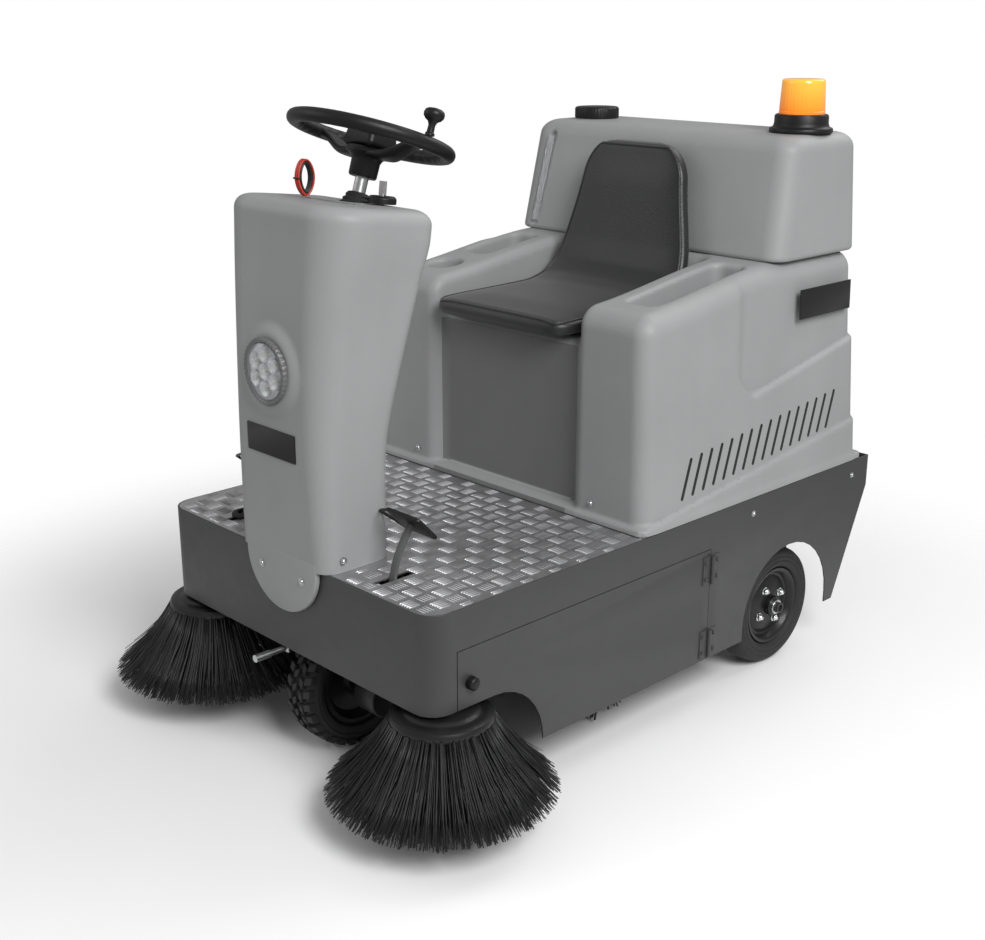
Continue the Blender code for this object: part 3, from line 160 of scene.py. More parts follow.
def makeTreadFinish():
    look = Finish("treadAlloy", (0.62, 0.62, 0.63), 0.34, Metallic=0.9)
    scuff, cloud = look.noise(700.0, 2.0), look.noise(24.0, 4.0)
    look.tone(cloud * 0.6 + scuff * 0.4, (0.30, 0.30, 0.31), (0.72, 0.72, 0.73))
    look.feed("Roughness", cloud * 0.3 + 0.22)
    look.bump(scuff, 0.0003)
    return look.material


def makeRubber():
    look = Finish("tyreRubber", (0.016, 0.016, 0.016), 0.72)
    dust = look.noise(60.0, 4.0)
    look.tone(dust, (0.006, 0.006, 0.006), (0.021, 0.0205, 0.02))
    look.feed("Roughness", dust * 0.25 + 0.55)
    look.bump(look.noise(500.0, 3.0), 0.0002)
    return look.material


def makeBristle():
    look = Finish("bristleBlack", (0.014, 0.014, 0.015), 0.42)
    vary = look.noise(220.0, 2.0, (1, 1, 0.2))
    look.tone(vary, (0.003, 0.003, 0.0034), (0.022, 0.022, 0.024))
    look.feed("Roughness", vary * 0.3 + 0.3)
    return look.material


def makeVinyl():
    look = Finish("seatVinyl", (0.02, 0.02, 0.022), 0.42, **{"Sheen Weight": 0.15})
    cells = look.node("TexVoronoi", {"feature": "SMOOTH_F1"}, output="Distance", Vector=look.place(), Scale=420.0)
    cloud = look.noise(12.0, 3.0)
    look.tone(cloud, (0.007, 0.0075, 0.008), (0.015, 0.0155, 0.0165))
    look.feed("Roughness", cloud * 0.16 + 0.34)
    look.bump(cells, 0.0004, 0.8)
    return look.material


# Painted light: the lens is lighter and glows more towards its top, and its faint glow stands in for light coming
# through the amber
def makeAmber():
    look = Finish("amberLens", (0.95, 0.36, 0.03), 0.16, **{"Emission Strength": 0.35, "Coat Weight": 0.4})
    at = look.node("TexCoord", output="Object")
    height = look.node("SeparateXYZ", output="Z", Vector=at)
    low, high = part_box("beacon_lens")
    # painted light: the share of the way up the lens, which makes the colour lighter and the glow brighter higher up
    level = (height - low.z) * (1 / (high.z - low.z)) + look.noise(30.0, 1.0) * 0.15
    look.tone(level, (0.93, 0.23, 0.01), (1.0, 0.45, 0.05))
    look.feed("Emission Color", look.node("Mix", {"data_type": "RGBA"}, output=2, i0=level, i6=(0.9, 0.16, 0.0, 1),
                                          i7=(1.0, 0.42, 0.04, 1)))
    return look.material


def makeWireSkin(name, colour):
    look = Finish(name, colour, 0.38)
    look.tone(look.noise(150.0, 2.0), tuple(c * 0.75 for c in colour), tuple(min(c * 1.2, 1) for c in colour))
    look.bump(look.noise(600.0, 1.0), 0.00008)
    return look.material


coverGrey = makeCover()
skirtPaint = mottled("skirtPaint", 0.044, 0.12, 0.44, 420.0, 0.00012)
framePaint = mottled("framePaint", 0.03, 0.15, 0.5, 300.0, 0.00015)
# painted shade: the darker grey of the front-facing panel in the seat recess, under the seat
recessPaintedShade = mottled("recessPaintedShade", 0.16, 0.08, 0.5, 260.0, 0.00025)
grainBlack = mottled("grainBlack", 0.008, 0.25, 0.42, 700.0, 0.00022, **{"Specular IOR Level": 0.32})
rimBlack = mottled("rimBlack", 0.009, 0.3, 0.4, 500.0, 0.00012, **{"Coat Weight": 0.1, "Specular IOR Level": 0.35})
pedalPaint = mottled("pedalPaint", 0.09, 0.2, 0.4, 300.0, 0.0001)
caseBlack = mottled("caseBlack", 0.026, 0.2, 0.45, 300.0, 0.00015)
plateBlack = mottled("plateBlack", 0.010, 0.2, 0.35, 500.0, 0.00003)
paperCream = mottled("paperCream", 0.55, 0.08, 0.8, 120.0, 0.0004)
# painted shade: the dark grey on the walls and floors of the vent slots, standing in for the dark inside the vents
ventPaintedShade = mottled("ventPaintedShade", 0.06, 0.2, 0.6, 200.0, 0.0002)
bezelGrey = mottled("bezelGrey", 0.13, 0.15, 0.32, 300.0, 0.0001)
zincSteel = metal("zincSteel", 0.56, 0.32, (1, 1, 0.1), 0.00006)
chromeBright = metal("chromeBright", 0.86, 0.16, (1, 1, 1), 0.00002)
reflectorBright = metal("reflectorBright", 0.42, 0.24, (1, 1, 1), 0.00002)
treadAlloy, tyreRubber, bristleBlack = makeTreadFinish(), makeRubber(), makeBristle()
seatVinyl, amberLens = makeVinyl(), makeAmber()
wireRed, wireBlack = makeWireSkin("wireRed", (0.52, 0.045, 0.03)), makeWireSkin("wireBlack", (0.02, 0.02, 0.02))
clearLens = Finish("clearLens", (0.93, 0.95, 0.96), 0.06, **{"Transmission Weight": 0.9, "IOR": 1.45})
clearLens.bump(clearLens.noise(260.0, 1.0), 0.00006)
clearLens = clearLens.material
ledYellow = Finish("ledYellow", (0.85, 0.80, 0.55), 0.3)
ledYellow.tone(ledYellow.noise(900.0, 1.0), (0.42, 0.37, 0.18), (0.62, 0.58, 0.40))
ledYellow = ledYellow.material
print("materials made")


# Mesh code

def cornerOf(node):
    # Lowest and highest corner of a CAD node, in machine coordinates
    low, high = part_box(node)
    shift = np.array([0, midY, 0])
    return np.array(low) + shift, np.array(high) + shift


def meshPiece(name, points, faces, material, body, replaces=(), slot=None, smooth=40):
    # points (n, 3) in machine coordinates; faces (m, 3 or 4), or a list of such arrays
    data = bpy.data.meshes.new(name)
    groups = faces if isinstance(faces, list) else [faces]
    rows = [row for group in groups for row in np.asarray(group).tolist()]
    data.from_pydata((np.asarray(points, float) - (0, midY, 0)).tolist(), [], rows)
    work = bmesh.new()
    work.from_mesh(data)
    bmesh.ops.remove_doubles(work, verts=work.verts, dist=1e-6)
    bmesh.ops.dissolve_degenerate(work, edges=work.edges, dist=1e-7)
    bmesh.ops.recalc_face_normals(work, faces=work.faces)
    work.to_mesh(data)
    work.free()
    return finishPiece(name, data, material, body, replaces, smooth)


def finishPiece(name, data, material, body, replaces=(), smooth=40):
    piece = bpy.data.objects.new(name, data)
    bpy.context.scene.collection.objects.link(piece)
    data.materials.clear()
    for one in material if isinstance(material, (list, tuple)) else [material]:
        data.materials.append(one)
    data.shade_smooth()
    data.set_sharp_from_angle(angle=math.radians(smooth))
    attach(piece, body)
    if replaces:
        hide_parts(*replaces)
    return piece


def gridFaces(rows, columns, wrapRows=False, wrapColumns=False):
    # Quads of a grid of rows x columns points, either way closed or open
    i = np.arange(rows if wrapRows else rows - 1)[:, None]
    j = np.arange(columns if wrapColumns else columns - 1)[None, :]
    down, right = (i + 1) % rows, (j + 1) % columns
    return np.stack([i * columns + j, i * columns + right, down * columns + right, down * columns + j],
                    -1).reshape(-1, 4)


def basis(direction):
    # Two unit vectors square to a direction
    direction = np.asarray(direction, float) / np.linalg.norm(direction)
    helper = np.array([1.0, 0, 0]) if abs(direction[0]) < 0.9 else np.array([0, 1.0, 0])
    first = np.cross(direction, helper)
    first /= np.linalg.norm(first)
    return direction, first, np.cross(direction, first)


def turned(profile, centre, direction, steps, wobble=None):
    # A profile of (radius, height) turned about an axis; wobble(angle, index) scales the radius
    profile = np.asarray(profile, float)
    axis, first, second = basis(direction)
    angle = np.linspace(0, 2 * math.pi, steps, endpoint=False)
    radius = profile[:, 0][:, None] * (1 if wobble is None else wobble(angle[None, :], np.arange(len(profile))[:, None]))
    ring = np.cos(angle)[None, :, None] * first + np.sin(angle)[None, :, None] * second
    points = np.asarray(centre) + radius[..., None] * ring + profile[:, 1][:, None, None] * axis
    return points.reshape(-1, 3), gridFaces(len(profile), steps, closedProfile(profile), True)


def closedProfile(profile):
    # A profile that starts and ends on the axis closes itself there; any other is a loop
    return not (abs(profile[0][0]) < 1e-6 and abs(profile[-1][0]) < 1e-6)


def tube(path, radius, sides=8, closed=False, capped=True, flat=1.0):
    # A round or oval section carried along a path, its frame kept steady by one fixed up vector
    path = np.asarray(path, float)
    if closed:
        along = np.roll(path, -1, 0) - np.roll(path, 1, 0)
    else:
        along = np.gradient(path, axis=0)
    along /= np.linalg.norm(along, axis=1)[:, None]
    normal = np.linalg.svd(path - path.mean(0))[2][2] if len(path) > 2 else basis(along[0])[1]
    side = np.cross(along, normal)
    weak = np.linalg.norm(side, axis=1) < 0.2
    side[weak] = np.cross(along[weak], basis(normal)[1])
    side /= np.linalg.norm(side, axis=1)[:, None]
    up = np.cross(side, along)
    angle = np.linspace(0, 2 * math.pi, sides, endpoint=False)
    thick = np.broadcast_to(np.asarray(radius, float), (len(path),))[:, None, None]
    points = path[:, None] + thick * (np.cos(angle)[None, :, None] * side[:, None] + flat * np.sin(angle)[None, :, None] * up[:, None])
    points = points.reshape(-1, 3)
    faces = [gridFaces(len(path), sides, closed, True)]
    if capped and not closed:
        count = len(points)
        points = np.vstack([points, path[0], path[-1]])
        j = np.arange(sides)
        faces.append(np.stack([j, (j + 1) % sides, np.full(sides, count)], -1))
        last = count - sides
        faces.append(np.stack([last + j, last + (j + 1) % sides, np.full(sides, count + 1)], -1))
    return points, faces


def gather(shapes):
    # Several (points, faces) made one
    points, faces, offset = [], [], 0
    for some, cells in shapes:
        for cell in cells if isinstance(cells, list) else [cells]:
            faces.append(np.asarray(cell) + offset)
        points.append(some)
        offset += len(some)
    return np.vstack(points), faces


def spread(template, faces, places):
    # Copies of a small shape; places (k, 4, 4)
    template = np.asarray(template, float)
    points = np.einsum("kij,nj->kni", places[:, :3, :3], template) + places[:, None, :3, 3]
    cells = np.asarray(faces)[None] + (np.arange(len(places)) * len(template))[:, None, None]
    return points.reshape(-1, 3), cells.reshape(-1, np.asarray(faces).shape[-1])


def plate(outline, axis, low, high, soft=0.0, steps=2):
    # A flat outline with its two long edges eased by soft, carried along axis "x", "y" or "z"
    outline = np.asarray(outline, float)
    middle = outline.mean(0)
    reach = np.abs(outline - middle).max()
    turns = np.linspace(0, math.pi / 2, steps + 1)
    inward = np.concatenate([soft * (1 - np.sin(turns)), soft * (1 - np.sin(turns[::-1]))])
    level = np.concatenate([low + soft * (1 - np.cos(turns)), high - soft * (1 - np.cos(turns[::-1]))])
    rings = middle + (outline - middle)[None] * (1 - inward / max(reach, 1e-6))[:, None, None]
    columns = {"x": (2, 0, 1), "y": (0, 2, 1), "z": (0, 1, 2)}[axis]
    stacked = np.concatenate([rings, np.broadcast_to(level[:, None, None], (*rings.shape[:2], 1))], -1)
    points = stacked[..., columns].reshape(-1, 3)
    count, rows = len(outline), len(rings)
    caps = [np.array([list(range(count))]), np.array([[(rows - 1) * count + j for j in range(count)]])]
    return points, [gridFaces(rows, count, False, True)] + caps


def roundedBox(x, y, z, soft, count=3):
    # A box whose every edge is rounded: the unit sphere's octants pushed apart to the corners
    angle = np.linspace(0, math.pi / 2, count + 1)
    around = np.concatenate([angle + k * math.pi / 2 for k in range(4)])
    rise = np.concatenate([angle - math.pi / 2, angle])
    unit = np.stack([np.cos(rise)[:, None] * np.cos(around)[None], np.cos(rise)[:, None] * np.sin(around)[None],
                     np.broadcast_to(np.sin(rise)[:, None], (len(rise), len(around)))], -1)
    quarter = np.repeat(np.arange(4), count + 1)
    signs = np.stack([np.broadcast_to(np.where((quarter == 0) | (quarter == 3), 1, -1)[None], unit.shape[:2]),
                      np.broadcast_to(np.where(quarter < 2, 1, -1)[None], unit.shape[:2]),
                      np.broadcast_to(np.where(np.arange(len(rise)) <= count, -1, 1)[:, None], unit.shape[:2])], -1)
    low, high = np.array([x[0], y[0], z[0]]), np.array([x[1], y[1], z[1]])
    half = (high - low) / 2 - soft
    points = ((low + high) / 2 + signs * half + unit * soft).reshape(-1, 3)
    rows, columns = len(rise), len(around)
    caps = [np.array([list(range(columns))]), np.array([[(rows - 1) * columns + j for j in range(columns)]])]
    return points, [gridFaces(rows, columns, False, True)] + caps


def refined(name, node, material, body, width=0.0008, smooth=32):
    # A CAD solid's own shape, merged, with its sharp edges eased
    data = nodes[node].data.copy()
    work = bmesh.new()
    work.from_mesh(data)
    bmesh.ops.remove_doubles(work, verts=work.verts, dist=2e-6)
    bmesh.ops.dissolve_limit(work, angle_limit=math.radians(1), verts=work.verts, edges=work.edges)
    work.to_mesh(data)
    work.free()
    piece = finishPiece(name, data, material, body, (node,), smooth)
    if width:
        ease = piece.modifiers.new("ease", "BEVEL")
        ease.width = width
        ease.segments = 2
        ease.limit_method = "ANGLE"
        ease.angle_limit = math.radians(40)
    return piece


# Camera, floor and light

viewShape = dict(turn=46.18, lift=18.10, lens=51.53, place=(2.0284, -2.0066, 1.3972))


def makeStage():
    camera = bpy.data.objects.new("camera", bpy.data.cameras.new("camera"))
    bpy.context.scene.collection.objects.link(camera)
    camera.location = viewShape["place"]
    camera.rotation_euler = (math.radians(90 - viewShape["lift"]), 0, math.radians(viewShape["turn"]))
    camera.data.lens, camera.data.sensor_width = viewShape["lens"], 36
    camera.data.clip_end = 50
    bpy.context.scene.camera = camera
    half = 12
    floor = bpy.data.meshes.new("floor")
    floor.from_pydata([(-half, -half, 0), (half, -half, 0), (half, half, 0), (-half, half, 0)], [], [(0, 1, 2, 3)])
    floorObject = bpy.data.objects.new("floor", floor)
    floorObject.location.z = -0.0005
    bpy.context.scene.collection.objects.link(floorObject)
    pale = Finish("floorPale", (0.93, 0.93, 0.93), 0.9)
    pale.tone(pale.noise(3.0, 2.0), (0.92, 0.92, 0.92), (0.95, 0.95, 0.95))
    # The floor fades out with its distance from the machine, so that the white behind takes over
    apart = pale.node("VectorMath", {"operation": "LENGTH"}, output="Value", Vector=pale.place())
    fade = (apart - 1.0) * (1 / 0.85)
    fade = fade.calc("MINIMUM", fade.calc("MAXIMUM", fade, 0.0), 1.0)
    pale.feed("Alpha", 1.0 - fade * fade * (3.0 - fade * 2.0))
    floor.materials.append(pale.material)
    for name, place, size, power, aim in (
        ("keyLight", (3.5, -1.1, 3.3), 2.0, 175, (0, 0, 0.5)),
        ("leftLight", (-2.4, -3.0, 2.6), 2.4, 22, (0, 0, 0.5)),
        ("rearLight", (0.5, 3.0, 3.4), 2.4, 45, (0, 0, 0.6)),
    ):
        light = bpy.data.lights.new(name, "AREA")
        light.size, light.energy = size, power
        lamp = bpy.data.objects.new(name, light)
        lamp.location = place
        lamp.rotation_euler = (Vector(aim) - Vector(place)).to_track_quat("-Z", "Y").to_euler()
        bpy.context.scene.collection.objects.link(lamp)
    world = bpy.data.worlds.new("studio")
    bpy.context.scene.world = world
    world.use_nodes = True
    tree = world.node_tree
    background = tree.nodes["Background"]
    path = tree.nodes.new("ShaderNodeLightPath")
    seen = Wire(tree, path.outputs["Is Camera Ray"]).calc("MAXIMUM", Wire(tree, path.outputs["Is Camera Ray"]),
                                                          Wire(tree, path.outputs["Is Transmission Ray"]))
    strength = seen * 0.64 + 0.36
    tree.links.new(strength.socket, background.inputs["Strength"])
    background.inputs["Color"].default_value = (1, 1, 1, 1)
    bpy.context.scene.view_settings.view_transform = "Standard"


makeStage()


# Implicit shapes, for the moulded hood

def meet(a, b, soft):
    # The part inside both fields, the edge between them rounded
    return np.minimum(-soft, np.maximum(a, b)) + np.hypot(np.maximum(a + soft, 0), np.maximum(b + soft, 0))


def both(a, b, soft):
    # The part inside either field, the inner corner filled to a radius
    return np.maximum(soft, np.minimum(a, b)) - np.hypot(np.maximum(soft - a, 0), np.maximum(soft - b, 0))


def ease(value, low, high):
    # 0 below low, 1 above high, a smooth cubic between
    t = np.clip((value - low) / (high - low), 0, 1)
    return t * t * (3 - 2 * t)


def fieldSurface(field, low, high, step):
    # Surface nets: one point in each cell the surface crosses, joined over every crossed grid edge,
    # then each point slid along the gradient until the field there is zero
    axes = [np.arange(a, b + step, step) for a, b in zip(low, high)]
    values = field(*np.meshgrid(*axes, indexing="ij")).astype(np.float32)
    inside = values < 0
    cells = np.zeros(tuple(n - 1 for n in inside.shape), bool)
    count = np.zeros(cells.shape, np.int8)
    for dx in (0, 1):
        for dy in (0, 1):
            for dz in (0, 1):
                count += inside[dx:inside.shape[0] - 1 + dx, dy:inside.shape[1] - 1 + dy, dz:inside.shape[2] - 1 + dz]
    cells = (count > 0) & (count < 8)
    index = np.full(cells.shape, -1, np.int64)
    index[cells] = np.arange(cells.sum())
    where = np.argwhere(cells)
    points = np.array([a[0] for a in axes]) + (where + 0.5) * step
    faces = []
    for axis in range(3):
        ahead = np.diff(inside.astype(np.int8), axis=axis)
        grown = np.argwhere(ahead != 0)
        one, two = (axis + 1) % 3, (axis + 2) % 3
        grown = grown[(grown[:, one] > 0) & (grown[:, two] > 0) & (grown[:, one] < cells.shape[one]) & (grown[:, two] < cells.shape[two])]
        sign = ahead[tuple(grown.T)]
        quad = []
        for a, b in ((1, 1), (0, 1), (0, 0), (1, 0)):
            at = grown.copy()
            at[:, one] -= a
            at[:, two] -= b
            quad.append(index[tuple(at.T)])
        quad = np.stack(quad, -1)
        quad[sign < 0] = quad[sign < 0][:, ::-1]
        faces.append(quad)
    tiny = step * 0.05
    for _ in range(4):
        x, y, z = points.T
        here = field(x, y, z)
        slope = np.stack([field(x + tiny, y, z) - here, field(x, y + tiny, z) - here, field(x, y, z + tiny) - here],
                         -1) / tiny
        move = here[:, None] * slope / np.maximum((slope ** 2).sum(1), 0.2)[:, None]
        points = points - np.clip(move, -step, step)
    return points, faces


hoodShape = dict(half=0.397, lean=0.030, front=0.553, rear=1.296, deck=0.4303, top=0.905, armTop=0.852,
                 space=0.2075, panel=0.581, floor=0.782, back=0.968, edge=0.040, binX=0.295, binHalf=0.0375,
                 step=0.0056)


def sideLines(y):
    # Heights of the two mould lines on the side: the upper swoosh and the lower ledge
    upper = 0.644 + 0.235 * np.maximum(y - 0.905, 0) + 3.5 * np.maximum(0.905 - y, 0) ** 1.5 - 0.035 * np.maximum(y - 0.905, 0)
    lower = 0.448 + 0.118 * np.maximum(y - 0.60, 0)
    return upper, lower


def hoodField(x, y, z):
    s = hoodShape
    wide = np.abs(x)
    upper, lower = sideLines(y)
    inset = 0.010 * ease(z - upper, -0.004, 0.004) * ease(y, 0.835, 0.875) - 0.007 * (1 - ease(z - lower, -0.003, 0.004))
    side = wide - (s["half"] - s["lean"] * (z - s["deck"])) + inset
    topLine = s["armTop"] + (s["top"] - s["armTop"]) * ease(y, 0.52, 1.02)
    top = z - topLine
    ends = meet(s["front"] + 0.016 * (z - s["deck"]) - y, y - s["rear"] + 0.072 * (z - s["deck"]), 0.01)
    body = meet(meet(side, ends, 0.036), top, s["edge"])
    # seat recess: shallow down the panel, deep above the seat floor
    upright = y - s["panel"]
    well = meet(s["floor"] - z, y - (s["back"] - 0.03 + 0.03 * ease(z, 0.80, 0.93)), 0.055)
    recess = meet(wide - (s["space"] - 0.06 * (z - 0.9) * 0.1), both(upright, well, 0.022), 0.03)
    recess = meet(recess, 0.446 - z, 0.004)
    body = meet(body, -recess, 0.022)
    # flange that stands on the deck
    flange = meet(meet(wide - 0.4045, meet(0.544 - y, y - 1.311, 0.012), 0.02), z - 0.443, 0.004)
    body = both(body, flange, 0.008)
    body = meet(body, s["deck"] - z, 0.0015)
    # bins and cup holder
    long = meet(np.abs(y - 0.785) - 0.145, np.abs(x - s["binX"]) - s["binHalf"], 0.022)
    short = meet(np.abs(y - 0.845) - 0.085, np.abs(x + s["binX"]) - s["binHalf"], 0.022)
    cup = np.hypot(x + s["binX"], y - 0.670) - s["binHalf"]
    for hollow in (long, short, cup):
        body = meet(body, -meet(hollow, 0.792 - z, 0.012), 0.009)
    return body


def makeHood():
    points, faces = fieldSurface(hoodField, (-0.415, 0.53, 0.418), (0.415, 1.325, 0.93), hoodShape["step"])
    hood = meshPiece("moulded_hood", points, faces, [coverGrey, ventPaintedShade, recessPaintedShade], "root", ("hood",),
                     "cover_plastic", 60)
    # sixteen slanted vents on each side, cut as capsules
    shapes = []
    for side in (-1, 1):
        for k in range(16):
            t = k / 15
            low = np.array([side * 0.398, 0.671 + 0.495 * t, 0.480 + 0.049 * t])
            high = np.array([side * 0.398, 0.697 + 0.494 * t, 0.555 + 0.049 * t])
            along = (high - low) / np.linalg.norm(high - low)
            across = np.array([0, along[2], -along[1]])
            turn = np.linspace(0, math.pi, 7)
            loop = np.concatenate([high + 0.0044 * (np.cos(turn)[:, None] * across + np.sin(turn)[:, None] * along),
                                   low - 0.0044 * (np.cos(turn)[:, None] * across + np.sin(turn)[:, None] * along)])
            deep = np.stack([loop + (d * side, 0, 0) for d in (-0.014, 0.02)])
            count = len(loop)
            cells = [gridFaces(2, count, False, True), np.array([list(range(count))]),
                     np.array([list(range(count, 2 * count))])]
            shapes.append((deep.reshape(-1, 3), cells))
    points, faces = gather(shapes)
    data = bpy.data.meshes.new("ventCutter")
    data.from_pydata((points - (0, midY, 0)).tolist(), [], [row for group in faces for row in group.tolist()])
    work = bmesh.new()
    work.from_mesh(data)
    bmesh.ops.recalc_face_normals(work, faces=work.faces)
    work.to_mesh(data)
    work.free()
    # the cut walls and floors take this dark grey: painted shade for the dark inside the vents
    data.materials.append(ventPaintedShade)
    cutter = bpy.data.objects.new("ventCutter", data)
    bpy.context.scene.collection.objects.link(cutter)
    slots = hood.modifiers.new("vents", "BOOLEAN")
    slots.operation = "DIFFERENCE"
    slots.object = cutter
    slots.material_mode = "TRANSFER"
    bpy.context.view_layer.update()
    made = bpy.data.meshes.new_from_object(hood.evaluated_get(bpy.context.evaluated_depsgraph_get()))
    hood.modifiers.clear()
    hood.data = made
    bpy.data.objects.remove(cutter)
    # the front-facing panel under the seat, in the seat recess, is painted a darker grey: painted shade
    centre = np.zeros(len(made.polygons) * 3)
    made.polygons.foreach_get("center", centre)
    centre = centre.reshape(-1, 3) + (0, midY, 0)
    facing = np.zeros(len(made.polygons) * 3)
    made.polygons.foreach_get("normal", facing)
    facing = facing.reshape(-1, 3)
    slot = np.zeros(len(made.polygons), np.int32)
    made.polygons.foreach_get("material_index", slot)
    panel = (np.abs(centre[:, 0]) < 0.2) & (centre[:, 2] < 0.77) & (centre[:, 1] < 0.60) & (facing[:, 1] < -0.7)
    slot[panel & (slot == 0)] = 2
    made.polygons.foreach_set("material_index", slot)
    made.shade_smooth()
    made.set_sharp_from_angle(angle=math.radians(50))
    return hood


makeHood()
print("hood made")


# Steering column cover

columnShape = dict(
    heights=(0.4303, 0.650, 0.800, 0.950, 1.030, 1.087), half=(0.138, 0.138, 0.146, 0.160, 0.170, 0.172),
    front=(-0.012, -0.016, -0.012, -0.002, 0.006, 0.010), back=(0.145, 0.148, 0.186, 0.224, 0.240, 0.242),
    corner=(0.036, 0.046, 0.058, 0.068, 0.074, 0.076), fall=0.12, round=0.026, lampZ=0.788)


def ringPlan(half, front, back, frontCorner, backCorner, frontSteps, sideSteps, bend=9):
    # Rounded rectangles, one per row: arrays (rows,) in, (rows, points, 2) out
    turn = np.linspace(0, math.pi / 2, bend + 1)[None, :]
    rows = len(half)
    half, front, back, frontCorner, backCorner = (np.broadcast_to(v, (rows,))[:, None] for v in (half, front, back, frontCorner, backCorner))
    t = np.linspace(0, 1, frontSteps, endpoint=False)[None, 1:]
    s = np.linspace(0, 1, sideSteps, endpoint=False)[None, 1:]
    straight = half - frontCorner
    a = (-straight + 2 * straight * t, front + 0 * t)
    b = (straight + frontCorner * np.sin(turn), front + frontCorner * (1 - np.cos(turn)))
    startY, endY = front + frontCorner, back - backCorner
    c = (half + 0 * s, startY + (endY - startY) * s)
    d = (half - backCorner * (1 - np.cos(turn)), back - backCorner * (1 - np.sin(turn)))
    rear = half - backCorner
    e = (rear - 2 * rear * s, back + 0 * s)
    f = (-half + backCorner * (1 - np.sin(turn)), back - backCorner * (1 - np.cos(turn)))
    g = (-half + 0 * s, endY + (startY - endY) * s)
    h = (-half + frontCorner * (1 - np.cos(turn)), front + frontCorner * (1 - np.sin(turn)))
    xs = np.concatenate([a[0], b[0], c[0], d[0], e[0], f[0], g[0], h[0]], 1)
    ys = np.concatenate([a[1], b[1], c[1], d[1], e[1], f[1], g[1], h[1]], 1)
    return xs, ys


def makeColumn():
    c = columnShape
    top = c["heights"][-1]
    heights = np.concatenate([np.linspace(c["heights"][0], top - c["round"], 118, endpoint=False),
                              top - c["round"] * (1 - np.sin(np.linspace(0, math.pi / 2, 9))), np.full(5, top)])
    pull = np.concatenate([np.zeros(118), c["round"] * (1 - np.cos(np.linspace(0, math.pi / 2, 9))),
                           np.linspace(0.035, 0.125, 5)])

    def size(key):
        line = np.interp(heights, c["heights"], c[key])
        soft = np.convolve(np.pad(line, 12, mode="reflect", reflect_type="odd"), np.ones(25) / 25, "valid")
        return np.where(heights > c["heights"][0] + 1e-6, soft, line)

    half, front, back = size("half") - pull, size("front") + pull, size("back") - pull
    frontCorner = np.maximum(size("corner") - pull * 0.6, 0.004)
    backCorner = np.maximum(0.032 - pull * 0.25, 0.003)
    frontCorner = np.minimum(frontCorner, (back - front) * 0.45)
    backCorner = np.minimum(backCorner, (back - front) * 0.45)
    xs, ys = ringPlan(half, front, back, frontCorner, backCorner, 62, 14)
    zs = np.broadcast_to(heights[:, None], xs.shape)
    # the lamp's boss stands out of the front face
    away = np.hypot(xs, zs - c["lampZ"])
    faceOn = 1 - ease(ys - front[:, None], 0.004, 0.03)
    ys = ys - (0.0085 + 0.5 * np.maximum(-0.012 - ys, 0)) * (1 - ease(away, 0.064, 0.090)) * faceOn
    fall = c["fall"] * np.clip((zs - 0.95) / 0.08, 0, 1)
    zs = zs - fall * np.maximum(ys - 0.016, 0)
    points = np.stack([xs, ys, zs], -1)
    rows, columns = xs.shape
    caps = [np.array([list(range(columns))[::-1]]), np.array([[(rows - 1) * columns + j for j in range(columns)]])]
    meshPiece("column_shell", points.reshape(-1, 3), [gridFaces(rows, columns, False, True)] + caps, coverGrey, "root",
              ("column_cover",), "cover_plastic", 50)
    # apron that hangs over the chassis front
    turn = np.linspace(-math.pi, 0, 49)
    arch = np.stack([0.108 * np.cos(turn), 0.430 + 0.104 * np.sin(turn)], -1)
    outline = np.vstack([arch, [(0.108, 0.446), (-0.108, 0.446)]])
    meshPiece("column_apron", *plate(outline, "y", -0.0125, -0.0008, 0.004, 4), coverGrey, "root", (), "cover_plastic")


def screwHead(centre, direction, radius=0.0055):
    # Domed head over a washer
    dome = [(0, 0.0052), (radius * 0.35, 0.005), (radius * 0.75, 0.0036), (radius, 0.0014), (radius, 0.001),
            (radius * 1.5, 0.001),
            (radius * 1.5, 0), (0, 0)]
    return turned(dome, centre, direction, 20)


def blankPlate(name, centre, across, up, width, height):
    # Thin label with eased edges, bare
    across, up = np.asarray(across, float), np.asarray(up, float)
    out = np.cross(across, up)
    turn = np.linspace(0, math.pi / 2, 4)
    soft = 0.0015
    loop = np.concatenate([np.stack([(width / 2 - soft) * sx + soft * np.cos(turn + start),
                                     (height / 2 - soft) * sy + soft * np.sin(turn + start)], -1)
                           for sx, sy, start in ((1, 1, 0), (-1, 1, math.pi / 2), (-1, -1, math.pi),
                                                 (1, -1, 1.5 * math.pi))])
    rings = np.stack([np.asarray(centre) + loop[:, :1] * k * across + loop[:, 1:] * k * up + out * d
                      for d, k in ((-0.0015, 1), (0.0004, 1), (0.0007, 0.995))])
    count = len(loop)
    caps = [np.array([list(range(count))]), np.array([[2 * count + j for j in range(count)]])]
    return meshPiece(name, rings.reshape(-1, 3), [gridFaces(3, count, False, True)] + caps, plateBlack, "root")


def makeColumnTrim():
    places = (((-0.060, -0.0126, 0.404), (0, -1, 0)), ((0.064, -0.0126, 0.402), (0, -1, 0)),
              ((0.1382, 0.028, 0.452), (1, 0, 0)),
              ((-0.1382, 0.028, 0.452), (-1, 0, 0)))
    points, faces = gather([screwHead(at, way) for at, way in places])
    meshPiece("column_screws", points, faces, zincSteel, "root")
    blankPlate("front_label", (-0.005, -0.0164, 0.654), (1, 0, 0), (0, 0.0, 1), 0.145, 0.052)


makeColumn()
makeColumnTrim()
print("column made")


# Water tank

tankShape = dict(base=(0.376, 0.975, 1.268), top=(0.362, 1.022, 1.262), low=0.9053, high=1.152, corner=0.042,
                 round=0.030)


